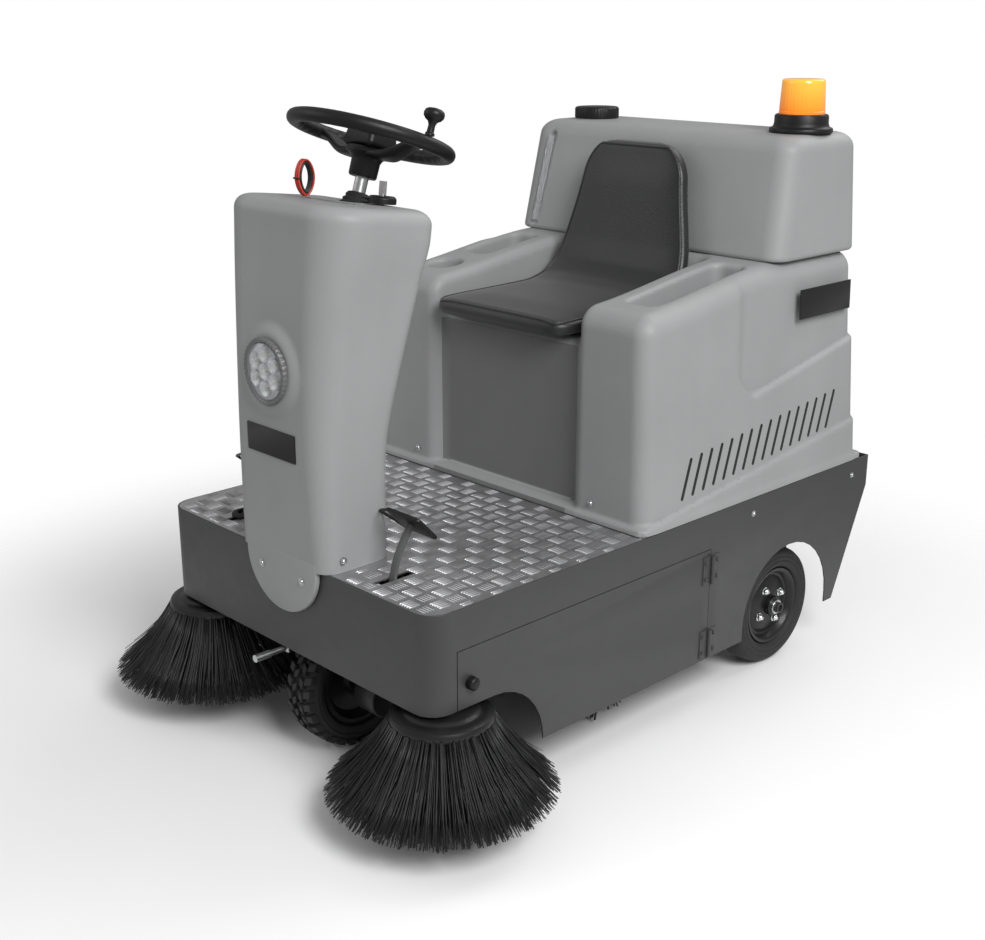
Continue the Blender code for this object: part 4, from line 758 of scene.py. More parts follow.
def makeTank():
    t = tankShape
    straight, bend = 66, 9
    turn = np.linspace(0, math.pi / 2, bend)
    heights = np.concatenate([[t["low"], t["low"] + 0.003], np.linspace(t["low"] + 0.008, t["high"] - t["round"],
                                                                        straight, endpoint=False),
                              t["high"] - t["round"] * (1 - np.sin(turn)), np.full(4, t["high"])])
    pull = np.concatenate([[0.004, 0.001], np.zeros(straight), t["round"] * (1 - np.cos(turn)),
                           [0.036, 0.05, 0.08, 0.11]])
    share = (heights - t["low"]) / (t["high"] - t["low"])
    half, front, back = ((a + (b - a) * share) for a, b in zip(t["base"], t["top"]))
    half, front, back = half - pull, front + pull, back - pull
    corner = np.maximum(t["corner"] - pull * 0.3, 0.004)
    xs, ys = ringPlan(half, front, back, corner, corner * 0.8, 200, 16)
    zs = np.broadcast_to(heights[:, None], xs.shape)
    # groove for the sight tube, down the front face
    run = np.clip((1.118 - zs) / 0.193, 0, 1)
    away = np.hypot(xs - (-0.300 - 0.022 * run), np.maximum(np.maximum(zs - 1.118, 0.925 - zs), 0))
    near = 1 - ease(ys - front[:, None], 0.002, 0.02)
    ys = ys + 0.009 * (1 - ease(away, 0.0065, 0.0125)) * near
    points = np.stack([xs, ys, zs], -1)
    rows, columns = xs.shape
    caps = [np.array([list(range(columns))[::-1]]), np.array([[(rows - 1) * columns + j for j in range(columns)]])]
    meshPiece("tank_shell", points.reshape(-1, 3), [gridFaces(rows, columns, False, True)] + caps, coverGrey, "root",
              ("water_tank",), "cover_plastic", 50)
    low, high = cornerOf("filler_cap")
    centre = (low + high) / 2
    neck = [(0.040, -0.004), (0.046, -0.004), (0.046, 0.006), (0.0445, 0.009), (0.040, 0.009)]
    meshPiece("tank_neck", *turned(neck, (centre[0], centre[1], t["high"]), (0, 0, 1), 48), coverGrey, "root")


def makeCap():
    low, high = cornerOf("filler_cap")
    centre = ((low[0] + high[0]) / 2, (low[1] + high[1]) / 2, low[2])
    radius, tall = (high[0] - low[0]) / 2, high[2] - low[2]
    profile = [(0, tall), (radius - 0.012, tall), (radius - 0.010, tall - 0.0015), (radius - 0.006, tall - 0.0015),
               (radius - 0.004, tall - 0.0005),
               (radius - 0.0015, tall - 0.002), (radius, tall - 0.005), (radius, 0.003), (radius - 0.001, 0.0008),
               (radius - 0.006, 0.0008), (0.0475, 0.0008),
               (0.0475, 0.012), (0.0385, 0.012), (0.0385, 0.0065), (0, 0.0065)]
    ribs = lambda angle, row: np.where((row >= 6) & (row <= 7), 1 - 0.018 * (0.5 + 0.5 * np.sign(np.cos(angle * 44))),
                                       1)
    meshPiece("cap_ribbed", *turned(profile, centre, (0, 0, 1), 176, ribs), grainBlack, "cap", ("filler_cap",),
              "black_plastic")


def makeBeacon():
    low, high = cornerOf("beacon_base")
    x, y, z = (low[0] + high[0]) / 2, (low[1] + high[1]) / 2, low[2]
    base = [(0, 0), (0.065, 0), (0.066, 0.002), (0.066, 0.007), (0.0645, 0.0095), (0.060, 0.011), (0.0575, 0.014),
            (0.0562, 0.020), (0.056, 0.033),
            (0.054, 0.0365), (0.050, 0.0377), (0, 0.0377)]
    meshPiece("beacon_foot", *turned(base, (x, y, z), (0, 0, 1), 72), grainBlack, "root", ("beacon_base",),
              "black_plastic")
    low, high = cornerOf("beacon_lens")
    tall = high[2] - low[2]
    lens = [(0, 0), (0.0478, 0), (0.0478, 0.005), (0.0468, 0.006)]
    lens += [(0.0468 - 0.0026 * k / 12, 0.008 + (tall - 0.019) * k / 12) for k in range(13)]
    lens += [(0.0446, tall - 0.008), (0.0440, tall - 0.003), (0.0418, tall - 0.0008), (0.039, tall),
             (0.020, tall - 0.0003), (0, tall - 0.001)]
    flute = lambda angle, row: np.where((row > 3) & (row < 17), 1 + 0.012 * np.abs(np.sin(angle * 18)), 1)
    meshPiece("beacon_dome", *turned(lens, (x, y, low[2]), (0, 0, 1), 144, flute), amberLens, "root", ("beacon_lens",),
              "amber_plastic")


makeTank()
makeCap()
makeBeacon()
print("tank made")


# Deck, chassis and doors

treadShape = dict(pitch=0.0365, bar=0.0265, wide=0.0034, tall=0.0016, gap=0.0062, bars=5, edge=0.397, front=0.008,
                  rear=0.541)


def makeTread():
    t = treadShape
    half, width, tall = t["bar"] / 2, t["wide"] / 2, t["tall"]
    template = np.array([(-half, 0, 0), (-half * 0.72, -width, 0), (half * 0.72, -width, 0), (half, 0, 0),
                         (half * 0.72, width, 0), (-half * 0.72, width, 0),
                         (-half * 0.86, 0, tall), (-half * 0.62, -width * 0.45, tall),
                         (half * 0.62, -width * 0.45, tall), (half * 0.86, 0, tall),
                         (half * 0.62, width * 0.45, tall), (-half * 0.62, width * 0.45, tall)])
    j = np.arange(6)
    k = (j + 1) % 6
    cells = np.stack([j, k, k + 6, j + 6], -1)
    top = np.array([(6, 7, 10, 11), (7, 8, 9, 10)])
    under = np.array([(5, 4, 1, 0), (4, 3, 2, 1)])
    cells = np.vstack([cells, top, under])
    columns = np.arange(-11, 12)
    rows = np.arange(0, 15)
    gx, gy = np.meshgrid(columns, rows, indexing="ij")
    centre = np.stack([gx.ravel() * t["pitch"], t["front"] + 0.014 + gy.ravel() * t["pitch"]], -1)
    flip = ((gx + gy).ravel() % 2).astype(bool)
    shift = (np.arange(t["bars"]) - (t["bars"] - 1) / 2) * t["gap"]
    at = centre[:, None] + np.where(flip[:, None, None], np.stack([shift, 0 * shift], -1)[None],
                                    np.stack([0 * shift, shift], -1)[None])
    at = at.reshape(-1, 2)
    flip = np.repeat(flip, t["bars"])
    reach = np.where(flip[:, None], (width, half), (half, width))
    x, y = np.abs(at[:, 0]) + reach[:, 0], at[:, 1]
    keep = (x < t["edge"]) & (y - reach[:, 1] > t["front"]) & (y + reach[:, 1] < t["rear"])
    keep &= ~((np.abs(at[:, 0]) < 0.150) & (y < 0.160))
    keep &= ~((np.abs(at[:, 0] - 0.22) < 0.016) & (y < 0.125) & (y > 0.03)) & ~((np.abs(at[:, 0] + 0.24) < 0.016) & (y < 0.125) & (y > 0.03))
    keep &= ~((x > t["edge"] - 0.035) & (y < 0.045) & (np.hypot(x - 0.36, 0.045 - y) > 0.036))
    at, flip = at[keep], flip[keep]
    places = np.zeros((len(at), 4, 4))
    places[:, 0, 0] = places[:, 1, 1] = np.where(flip, 0, 1)
    places[:, 0, 1], places[:, 1, 0] = np.where(flip, -1, 0), np.where(flip, 1, 0)
    places[:, 2, 2] = places[:, 3, 3] = 1
    places[:, :2, 3] = at
    places[:, 2, 3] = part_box("footplate")[1].z - 0.0001
    points, faces = spread(template, cells, places)
    meshPiece("tread_bars", points, faces, treadAlloy, "root", (), "tread_plate", 20)


def makeChassis():
    refined("skirt_shell", "chassis_skirt", skirtPaint, "root", 0.0006)
    for side in ("left", "right"):
        refined("door_panel_" + side, "side_door_" + side, skirtPaint, "door_" + side, 0.0006)
        sign = 1 if side == "right" else -1
        y, z = 0.091, 0.286
        face = 0.4053 * sign
        grip = [(0, 0), (0.0125, 0), (0.0128, 0.003), (0.012, 0.0065), (0.0125, 0.009), (0.0118, 0.0125),
                (0.009, 0.0148), (0.004, 0.0155), (0, 0.0155)]
        lobes = lambda angle, row: np.where((row > 0) & (row < 7), 1 - 0.05 * np.cos(angle * 6) ** 2, 1)
        stem = [(0, -0.0123), (0.005, -0.0123), (0.005, 0.0005), (0, 0.0005)]
        cam = roundedBox((face - sign * 0.0123, face - sign * 0.0045)[::sign], (y - 0.006, y + 0.006),
                         (z - 0.045, z + 0.006), 0.0012, 2)
        shapes = [turned(grip, (face, y, z), (sign, 0, 0), 72, lobes), turned(stem, (face, y, z), (sign, 0, 0), 20),
                  cam]
        meshPiece("door_latch_" + side, *gather(shapes), grainBlack, "knob_" + side, ("door_knob_" + side,),
                  "black_plastic")
        screws = [screwHead((sign * 0.4081, 0.762 + dy, h + dz), (sign, 0, 0),
                            0.0034) for dy in (-0.019, 0.0165) for h in (0.145, 0.309) for dz in (-0.018, 0.018)]
        for k, body in enumerate(("door_" + side, "root")):
            meshPiece(f"hinge_screws_{side}_{k}", *gather(screws[4 * k:4 * k + 4]), skirtPaint, body)
    refined("nozzle_body", "spray_nozzle", zincSteel, "root", 0.0004)


# Steering wheel

helm = dict(centre=(0, 0.2306, 1.1785), tilt=math.radians(18.9), rim=0.1426, tube=0.0135)
tiltUp = np.array([0, math.sin(helm["tilt"]), math.cos(helm["tilt"])])
tiltBack = np.array([0, math.cos(helm["tilt"]), -math.sin(helm["tilt"])])


def tilted(points):
    # From the wheel's own plane (across, towards the rider, up the column) to the machine
    points = np.asarray(points, float)
    return np.asarray(helm["centre"]) + points[..., :1] * (1, 0, 0) + points[..., 1:2] * tiltBack + points[..., 2:3] * tiltUp


def makeHelm():
    turn = np.linspace(0, 2 * math.pi, 288, endpoint=False)
    angle = np.linspace(0, 2 * math.pi, 18, endpoint=False)
    bead = 0.0006 * np.cos(turn * 36)[:, None] * np.clip(-np.cos(angle), 0, 1)[None]
    tubeR = helm["tube"] - 0.0004 - bead
    radius = helm["rim"] + tubeR * np.cos(angle)
    points = np.stack([radius * np.cos(turn)[:, None], radius * np.sin(turn)[:, None], tubeR * np.sin(angle)], -1)
    rim = (tilted(points.reshape(-1, 3)), gridFaces(288, 18, True, True))
    shapes = [rim]
    for side in (-1, 1):
        u = np.linspace(0, 1, 22)
        r = 0.018 + (helm["rim"] - 0.018) * u
        drop = -0.031 + 0.030 * ease(u, 0.25, 0.97)
        half = 0.027 - 0.013 * ease(u, 0.1, 0.9) + 0.004 * ease(u, 0.85, 1)
        thick = 0.0075 + 0.001 * np.sin(u * math.pi)
        a = np.linspace(0, 2 * math.pi, 24, endpoint=False)
        section = np.stack([np.sign(np.cos(a)) * np.abs(np.cos(a)) ** 0.55,
                            np.sign(np.sin(a)) * np.abs(np.sin(a)) ** 0.7], -1)
        ys = half[:, None] * section[:, 0]
        zs = drop[:, None] + thick[:, None] * section[:, 1] - 0.003 * (1 - section[:, 0] ** 2) * ease(u, 0.2, 0.6)[:, None]
        spoke = np.stack([np.broadcast_to(side * r[:, None], ys.shape), ys, zs], -1)
        caps = [np.array([list(range(24))]), np.array([[21 * 24 + j for j in range(24)]])]
        shapes.append((tilted(spoke.reshape(-1, 3)), [gridFaces(22, 24, False, True)] + caps))
    hub = [(0, -0.074), (0.024, -0.074), (0.026, -0.071), (0.0265, -0.045), (0.030, -0.038), (0.040, -0.032),
           (0.041, -0.026), (0.038, -0.0225), (0, -0.0225)]
    points, faces = turned(hub, (0, 0, 0), (0, 0, 1), 48)
    shapes.append((tilted(points), faces))
    meshPiece("helm_rim", *gather(shapes), grainBlack, "steering", ("steering_wheel",), "steering_foam", 35)
    points, faces = roundedBox((-0.037, 0.037), (-0.031, 0.031), (-0.0213, 0.0165), 0.009, 5)
    points[:, :2] *= (1 + 0.12 * ease(-points[:, 2], -0.012, 0.02))[:, None]
    ring = [(0.0148, 0.0145), (0.0172, 0.0145), (0.0172, 0.0185), (0.0160, 0.0196), (0.0148, 0.0190)]
    collar, collarFaces = turned(ring, (0, 0, 0), (0, 0, 1), 48)
    meshPiece("helm_pad", *gather([(tilted(points), faces), (tilted(collar), collarFaces)]), grainBlack, "steering",
              ("hub_cover",), "black_plastic", 35)
    button = [(0, 0.0168), (0.0140, 0.0168), (0.0140, 0.0212), (0.0125, 0.0228), (0.006, 0.0236), (0, 0.0237)]
    points, faces = turned(button, (0, 0, 0), (0, 0, 1), 48)
    meshPiece("horn_cap", tilted(points), faces, rimBlack, "horn", ("horn_button",), "black_plastic")
    angle = math.radians(4)
    at = (helm["rim"] * math.cos(angle), helm["rim"] * math.sin(angle), 0)
    low = helm["tube"] + 0.0004
    knob = [(0, low), (0.0085, low), (0.0085, low + 0.004), (0.0066, low + 0.006), (0.0062, low + 0.018),
            (0.0085, low + 0.024), (0.0145, low + 0.028),
            (0.0182, low + 0.033), (0.0188, low + 0.038), (0.0170, low + 0.0435), (0.0125, low + 0.0465),
            (0.006, low + 0.0478), (0, low + 0.048)]
    points, faces = turned(knob, at, (0, 0, 1), 48)
    meshPiece("knob_turned", tilted(points), faces, grainBlack, "spinner", ("spinner_knob",), "black_plastic")
    # rubber gaiter where the shaft leaves the column
    foot = -0.118
    boot = [(0.0145, foot - 0.010), (0.030, foot - 0.010), (0.031, foot - 0.006), (0.026, foot - 0.002),
            (0.027, foot + 0.002), (0.022, foot + 0.006),
            (0.023, foot + 0.010), (0.0185, foot + 0.015), (0.0145, foot + 0.016)]
    points, faces = turned(boot, (0, 0, 0), (0, 0, 1), 40)
    meshPiece("shaft_gaiter", tilted(points), faces, tyreRubber, "root")


# Headlight

def makeLamp():
    low, high = cornerOf("headlight_housing")
    x, z = 0.0, (low[2] + high[2]) / 2
    front = low[1]
    out = (0, -1, 0)
    at = (x, front + 0.010, z)
    bezel = [(0.0525, 0.0004), (0.0610, 0.0004), (0.0615, 0.0015), (0.0615, 0.0070), (0.0600, 0.0092), (0.0570, 0.0100),
             (0.0545, 0.0092),
             (0.0525, 0.0070)]
    knurl = lambda angle, row: np.where((row >= 2) & (row <= 4), 1 - 0.022 * (0.5 + 0.5 * np.cos(angle * 40)), 1)
    can = [(0.0522, 0.006), (0.0522, -0.030), (0.030, -0.052), (0, -0.052), (0, -0.050), (0.029, -0.050),
           (0.050, -0.029), (0.050, 0.006)]
    meshPiece("lamp_bezel", *turned(bezel, at, out, 240, knurl), bezelGrey, "root", ("headlight_housing",),
              "lamp_bezel", 35)
    meshPiece("lamp_can", *turned(can, at, out, 64), caseBlack, "root")
    back = [(0, 0.0005), (0.0498, 0.0005), (0.0498, 0.0020), (0, 0.0020)]
    meshPiece("lamp_back", *turned(back, at, out, 64), reflectorBright, "root")
    cells, leds = [], []
    for k in range(7):
        a = 0 if k == 0 else math.radians(60 * k + 30)
        r = 0 if k == 0 else 0.0315
        spot = (x + r * math.cos(a), at[1], z + r * math.sin(a))
        cup = [(0.0040, 0.0025), (0.0100, 0.0034), (0.0138, 0.0062), (0.0148, 0.0062), (0.0150, 0.0020),
               (0.0040, 0.0020)]
        facet = lambda angle, row: np.where((row == 1) | (row == 2), 1 - 0.05 * (0.5 + 0.5 * np.cos(angle * 12)), 1)
        cells.append(turned(cup, spot, out, 48, facet))
        leds.append(roundedBox((spot[0] - 0.003, spot[0] + 0.003), (at[1] - 0.0036, at[1] - 0.0015),
                               (spot[2] - 0.003, spot[2] + 0.003), 0.0006, 2))
    meshPiece("lamp_reflectors", *gather(cells), reflectorBright, "root")
    meshPiece("lamp_leds", *gather(leds), ledYellow, "root")
    lens = [(0, 0.0066), (0.0515, 0.0066), (0.0515, 0.0080), (0.045, 0.0090), (0.025, 0.0102), (0, 0.0106)]
    meshPiece("lamp_lens", *turned(lens, at, out, 96), clearLens, "root", ("headlight_lens",), "clear_plastic")


# Wheels

def tyreProfile(radius, inner, width, crown):
    # Half the section from bead to tread, mirrored: bulged side wall, soft shoulder, slightly crowned tread
    half = width / 2
    side = [(inner, half - 0.010), (inner + 0.004, half - 0.003), (inner + 0.010, half - 0.0006), (inner + 0.016, half),
            (inner + 0.0175, half - 0.0012),
            (inner + 0.019, half), (radius - 0.020, half - 0.0004), (radius - 0.0185, half - 0.0016),
            (radius - 0.017, half - 0.0008), (radius - 0.010, half - 0.003),
            (radius - 0.005, half - 0.007), (radius - crown, half - 0.013), (radius - crown * 0.4, half - 0.022),
            (radius - crown * 0.1, half * 0.12)]
    return side + [(r, -h) for r, h in reversed(side)]


def makeWheels():
    for side, sign in (("left", -1), ("right", 1)):
        low, high = cornerOf(f"rear_wheel_{side}_tyre")
        centre = (low + high) / 2
        way = (sign, 0, 0)
        radius = (high[2] - low[2]) / 2
        body = "rear_wheel_" + side
        meshPiece(f"tyre_{side}", *turned(tyreProfile(radius, 0.0885, 0.070, 0.0022), centre, way, 96), tyreRubber,
                  body, (f"rear_wheel_{side}_tyre",), "tyre", 50)
        rim = [(0.0126, 0.036), (0.020, 0.036), (0.022, 0.034), (0.0225, 0.022), (0.028, 0.0205), (0.056, 0.0185),
               (0.062, 0.014), (0.067, 0.012),
               (0.072, 0.014), (0.078, 0.026), (0.082, 0.0285), (0.0862, 0.0288), (0.0872, 0.027), (0.0872, -0.027),
               (0.080, -0.027), (0.074, -0.006),
               (0.030, 0.004), (0.024, -0.026), (0.0126, -0.026)]
        meshPiece(f"rim_{side}", *turned(rim, centre, way, 96), rimBlack, body, (f"rear_wheel_{side}_rim",), "rim", 35)
        nuts = []
        for k in range(4):
            a = math.radians(90 * k + 28)
            spot = (centre[0] + sign * 0.0195, centre[1] + 0.042 * math.cos(a), centre[2] + 0.042 * math.sin(a))
            dome = [(0, 0.013), (0.0028, 0.0125), (0.0052, 0.0105), (0.0062, 0.0075), (0.0066, 0.0072), (0.0066, 0.002),
                    (0.009, 0.0018), (0.009, 0), (0, 0)]
            hexed = lambda angle, row: np.where((row >= 4) & (row <= 5), 1 / np.cos((angle + math.pi / 6) % (math.pi / 3) - math.pi / 6), 1)
            nuts.append(turned(dome, spot, way, 36, hexed))
        meshPiece(f"nuts_{side}", *gather(nuts), chromeBright, body)
        cap = [(0.0083, 0.0), (0.0083, 0.006), (0.0155, 0.006), (0.0165, 0.005), (0.0165, 0.0)]
        meshPiece(f"hub_ring_{side}", *turned(cap, (centre[0] + sign * 0.0362, centre[1], centre[2]), way, 48),
                  zincSteel, body)
    low, high = cornerOf("front_wheel_tyre")
    centre = (low + high) / 2
    radius, width = (high[2] - low[2]) / 2, high[0] - low[0]
    carcass = turned(tyreProfile(radius - 0.008, 0.0885, width - 0.002, 0.0020), centre, (1, 0, 0), 96)
    # tread blocks: a staggered row on each shoulder and a centre rib of small blocks, each a tapered brick bent to the tyre
    block = np.array([(x, y, h) for h in (0, 1) for x, y in ((-1, -1), (1, -1), (1, 1), (-1, 1))], float)
    cells = np.array([(0, 1, 5, 4), (1, 2, 6, 5), (2, 3, 7, 6), (3, 0, 4, 7), (4, 5, 6, 7), (3, 2, 1, 0)])
    rows = []
    for across, size, count, phase, lean in ((-0.027, 0.0095, 30, 0.0, 0.25), (0.027, 0.0095, 30, 0.5, -0.25),
                                             (-0.0095, 0.0065, 30, 0.3, -0.5), (0.0095, 0.0065, 30, 0.8, 0.5)):
        k = np.arange(count)
        a = 2 * math.pi * (k + phase) / count
        scale = np.where(block[:, 2] > 0, 0.82, 1.0)
        lx = across + block[:, 0] * size * scale
        ly = block[:, 1] * 0.0088 * scale + lean * block[:, 0] * size
        edge = np.maximum(np.abs(lx) - 0.024, 0)
        r = radius - 0.0115 + block[:, 2] * 0.0115 - edge * 0.28
        theta = a[:, None] + ly[None] / radius
        p = np.stack([np.broadcast_to(centre[0] + lx[None], theta.shape), centre[1] + r * np.cos(theta),
                      centre[2] + r * np.sin(theta)], -1)
        rows.append((p.reshape(-1, 3), (cells[None] + (k * 8)[:, None, None]).reshape(-1, 4)))
    meshPiece("tyre_front", *gather([carcass] + rows), tyreRubber, "front_wheel", ("front_wheel_tyre",), "tyre", 30)
    refined("rim_front", "front_wheel_rim", rimBlack, "front_wheel", 0.001, 40)


# Brushes

def strands(centre, rootRadius, rootZ, tipRadius, tipZ, bulge, thick, angles, seed):
    # Thin three-sided bristles in one mesh; each bends from its root to its tip along a parabola
    rng = np.random.default_rng(seed)
    count, steps = len(angles), 5
    t = np.linspace(0, 1, steps)[None]
    r0 = rootRadius + rng.uniform(-0.010, 0.008, count)[:, None]
    r1 = tipRadius - np.abs(rng.normal(0, 0.010, count))[:, None]
    z1 = tipZ + np.abs(rng.normal(0, 0.0045, count))[:, None]
    swing = rng.normal(0, 0.035, count)[:, None]
    radius = r0 + (r1 - r0) * (t * (1 - bulge) + bulge * t ** 2)
    height = rootZ + (z1 - rootZ) * t
    theta = angles[:, None] + swing * t ** 2
    girth = (thick * rng.uniform(0.75, 1.25, count)[:, None] * (1 - 0.45 * t))[..., None]
    path = np.stack([radius * np.cos(theta), radius * np.sin(theta), height], -1)
    out = np.stack([np.cos(theta), np.sin(theta), 0 * theta], -1)
    side = np.stack([-np.sin(theta), np.cos(theta), 0 * theta], -1)
    turn = np.radians([0, 120, 240]) + 0.5
    ring = np.stack([path + girth * (math.cos(a) * side + math.sin(a) * out) for a in turn], 2)
    points = ring.reshape(-1, 3) + np.asarray(centre)
    cells = gridFaces(steps, 3, False, True)
    faces = (cells[None] + (np.arange(count) * steps * 3)[:, None, None]).reshape(-1, 4)
    ends = np.array([(0, 1, 2), (steps * 3 - 1, steps * 3 - 2, steps * 3 - 3)])
    caps = (ends[None] + (np.arange(count) * steps * 3)[:, None, None]).reshape(-1, 3)
    return points, [faces, caps]


def makeSideBrushes():
    for side, seed in (("left", 3), ("right", 8)):
        low, high = cornerOf("side_brush_bristles_" + side)
        centre = np.array([(low[0] + high[0]) / 2, (low[1] + high[1]) / 2, 0])
        body = "side_brush_" + side
        tufts = 44
        base = 2 * math.pi * np.arange(tufts) / tufts
        rng = np.random.default_rng(seed)
        shapes = []
        for k, (root, tip, tipZ, each) in enumerate(((0.088, 0.2135, 0.0708, 22), (0.076, 0.198, 0.071, 16),
                                                     (0.066, 0.180, 0.072, 12))):
            angles = np.repeat(base + k * math.pi / tufts, each) + rng.normal(0, 0.040, tufts * each)
            shapes.append(strands(centre, root, 0.212, tip, tipZ, 0.30, 0.0019, angles, seed * 10 + k))
        points, faces = gather(shapes)
        meshPiece("bristle_skirt_" + side, points, faces, bristleBlack, body, ("side_brush_bristles_" + side,),
                  "bristle", 180)
        disc = [(0, 0.2035), (0.060, 0.2035), (0.0885, 0.2035), (0.0935, 0.206), (0.095, 0.211), (0.0945, 0.217),
                (0.0915, 0.2225), (0.086, 0.2255), (0.080, 0.2262), (0.073, 0.2262),
                (0.070, 0.2275), (0.067, 0.2305), (0.060, 0.2325), (0.036, 0.2335), (0.034, 0.2345), (0.033, 0.243),
                (0.031, 0.2448), (0.0085, 0.2448), (0.0082, 0.283), (0, 0.283)]
        meshPiece("brush_plate_" + side, *turned(disc, centre, (0, 0, 1), 72), rimBlack, body,
                  ("side_brush_disc_" + side,), "black_plastic", 30)
        ring = [(0.034, 0.2350), (0.0395, 0.2350), (0.0405, 0.2362), (0.0405, 0.2405), (0.0390, 0.2420),
                (0.034, 0.2420)]
        meshPiece("brush_collar_" + side, *turned(ring, centre, (0, 0, 1), 64), zincSteel, body)


def makeRoller():
    low, high = cornerOf("roller_bristles")
    centre = (low + high) / 2
    reach, radius = (high[0] - low[0]) / 2, (high[2] - low[2]) / 2
    rng = np.random.default_rng(21)
    rows, each = 12, 150
    along = np.tile(np.linspace(-reach + 0.004, reach - 0.004, each), rows)
    vee = 0.9 * np.abs(along) / reach
    theta = np.repeat(2 * math.pi * np.arange(rows) / rows, each) + vee + rng.normal(0, 0.05, rows * each)
    t = np.linspace(0, 1, 4)[None]
    r = 0.041 + (radius - 0.0425 - np.abs(rng.normal(0, 0.002, len(theta)))[:, None]) * t
    a = theta[:, None] + rng.normal(0, 0.05, len(theta))[:, None] * t
    path = np.stack([np.broadcast_to(centre[0] + along[:, None], a.shape), centre[1] + r * np.cos(a),
                     centre[2] + r * np.sin(a)], -1)
    side = np.stack([0 * a, -np.sin(a), np.cos(a)], -1)
    ring = np.stack([path + 0.0022 * (math.cos(q) * side + math.sin(q) * np.array([1.0, 0, 0])) for q in (0.3, 2.39, 4.49)], 2)
    count, steps = len(theta), 4
    cells = gridFaces(steps, 3, False, True)
    faces = (cells[None] + (np.arange(count) * steps * 3)[:, None, None]).reshape(-1, 4)
    ends = np.array([(0, 1, 2), (steps * 3 - 1, steps * 3 - 2, steps * 3 - 3)])
    caps = (ends[None] + (np.arange(count) * steps * 3)[:, None, None]).reshape(-1, 3)
    meshPiece("roller_strands", ring.reshape(-1, 3), [faces, caps], bristleBlack, "roller", ("roller_bristles",),
              "bristle", 180)


# Pedals

def makePedals():
    for name, x, body in (("drive_pedal", 0.220, "drive"), ("brake_pedal", -0.240, "brake")):
        u = np.linspace(0, 1, 24)
        y = 0.072 + 0.004 * np.sin(u * math.pi * 0.6) + 0.046 * u ** 2.2
        z = 0.404 + 0.118 * u
        path = np.stack([np.full(24, x), y, z], -1)
        tangent = np.gradient(path, axis=0)
        tangent /= np.linalg.norm(tangent, axis=1)[:, None]
        normal = np.stack([0 * u, -tangent[:, 2], tangent[:, 1]], -1)
        wide = 0.0085 - 0.001 * u
        a = np.linspace(0, 2 * math.pi, 16, endpoint=False)
        section = np.stack([np.sign(np.cos(a)) * np.abs(np.cos(a)) ** 0.4,
                            np.sign(np.sin(a)) * np.abs(np.sin(a)) ** 0.4], -1)
        points = path[:, None] + wide[:, None, None] * section[None, :, :1] * (1, 0, 0) + 0.0035 * section[None, :, 1:] * normal[:, None]
        caps = [np.array([list(range(16))]), np.array([[23 * 16 + j for j in range(16)]])]
        arm = (points.reshape(-1, 3), [gridFaces(24, 16, False, True)] + caps)
        eye = [(0.0066, -0.0085), (0.011, -0.0085), (0.0118, -0.0075), (0.0118, 0.0075), (0.011, 0.0085),
               (0.0066, 0.0085)]
        boss = turned(eye, (x, 0.072, 0.404), (1, 0, 0), 32)
        meshPiece(name + "_arm", *gather([arm, boss]), pedalPaint, body, (name,), "pedal_paint", 35)
        # the pad: a ribbed plate on a slanted frame
        low, high = np.array([0.098, 0.548]), np.array([0.145, 0.4985])
        way = (high - low) / np.linalg.norm(high - low)
        up = np.array([-way[1], way[0]])
        length = np.linalg.norm(high - low)

        def pad(a, b, c):
            a, b, c = np.broadcast_arrays(a, b, c)
            flat = low + b[..., None] * way + c[..., None] * up
            return np.concatenate([(x + a)[..., None], flat], -1)

        corners = np.linspace(0, math.pi / 2, 6)
        soft, halfWide = 0.009, 0.046
        plan = np.concatenate([np.stack([(halfWide - soft) * sx + soft * np.cos(corners + s),
                                         length / 2 + (length / 2 - soft) * sy + soft * np.sin(corners + s)], -1)
                               for sx, sy, s in ((1, 1, 0), (-1, 1, math.pi / 2), (-1, -1, math.pi),
                                                 (1, -1, 1.5 * math.pi))])
        levels = [(-0.0035, 0.97), (-0.0025, 1.0), (0.0015, 1.0), (0.0028, 0.965)]
        middle = np.array([0, length / 2])
        rings = np.stack([pad(*(middle + (plan - middle) * k).T, np.full(len(plan), c)) for c, k in levels])
        count = len(plan)
        caps = [np.array([list(range(count))]), np.array([[3 * count + j for j in range(count)]])]
        shapes = [(rings.reshape(-1, 3), [gridFaces(4, count, False, True)] + caps)]
        for k in range(6):
            b = 0.009 + (length - 0.018) * k / 5
            ends = pad(np.array([-0.039, 0.039]), np.array([b, b]), np.array([0.003, 0.003]))
            run = ends[0] + (ends[1] - ends[0]) * np.linspace(0, 1, 5)[:, None]
            shapes.append(tube(run, 0.0013, 6))
        # open triangular loop at the left end of the pad
        loopA, loopB = np.array([-0.040, -0.083, -0.040]), np.array([0.004, length * 0.40, length - 0.004])
        t = np.linspace(0, 2, 21)
        wire = pad(np.interp(t, (0, 1, 2), loopA), np.interp(t, (0, 1, 2), loopB), np.full(21, -0.0008))
        shapes.append(tube(wire, 0.0030, 8))
        meshPiece(name + "_pad", *gather(shapes), grainBlack, body, (), "black_plastic", 35)
        ring = [(0.011, 0.0), (0.021, 0.0), (0.0225, 0.0015), (0.0225, 0.0050), (0.020, 0.0075), (0.013, 0.0085),
                (0.011, 0.0080)]
        if x < 0:
            meshPiece("pedal_boot", *turned([(r + 0.004, h) for r, h in ring], (x, 0.074, 0.4306), (0, 0, 1), 40),
                      tyreRubber, "root")


# Seat

seatShape = dict(line=((0.532, 0.801), (0.60, 0.803), (0.72, 0.804), (0.82, 0.806), (0.878, 0.818), (0.915, 0.852),
                       (0.936, 0.905), (0.948, 0.965), (0.959, 1.03), (0.968, 1.08), (0.974, 1.127)),
                 half=0.186, rows=96, around=72)


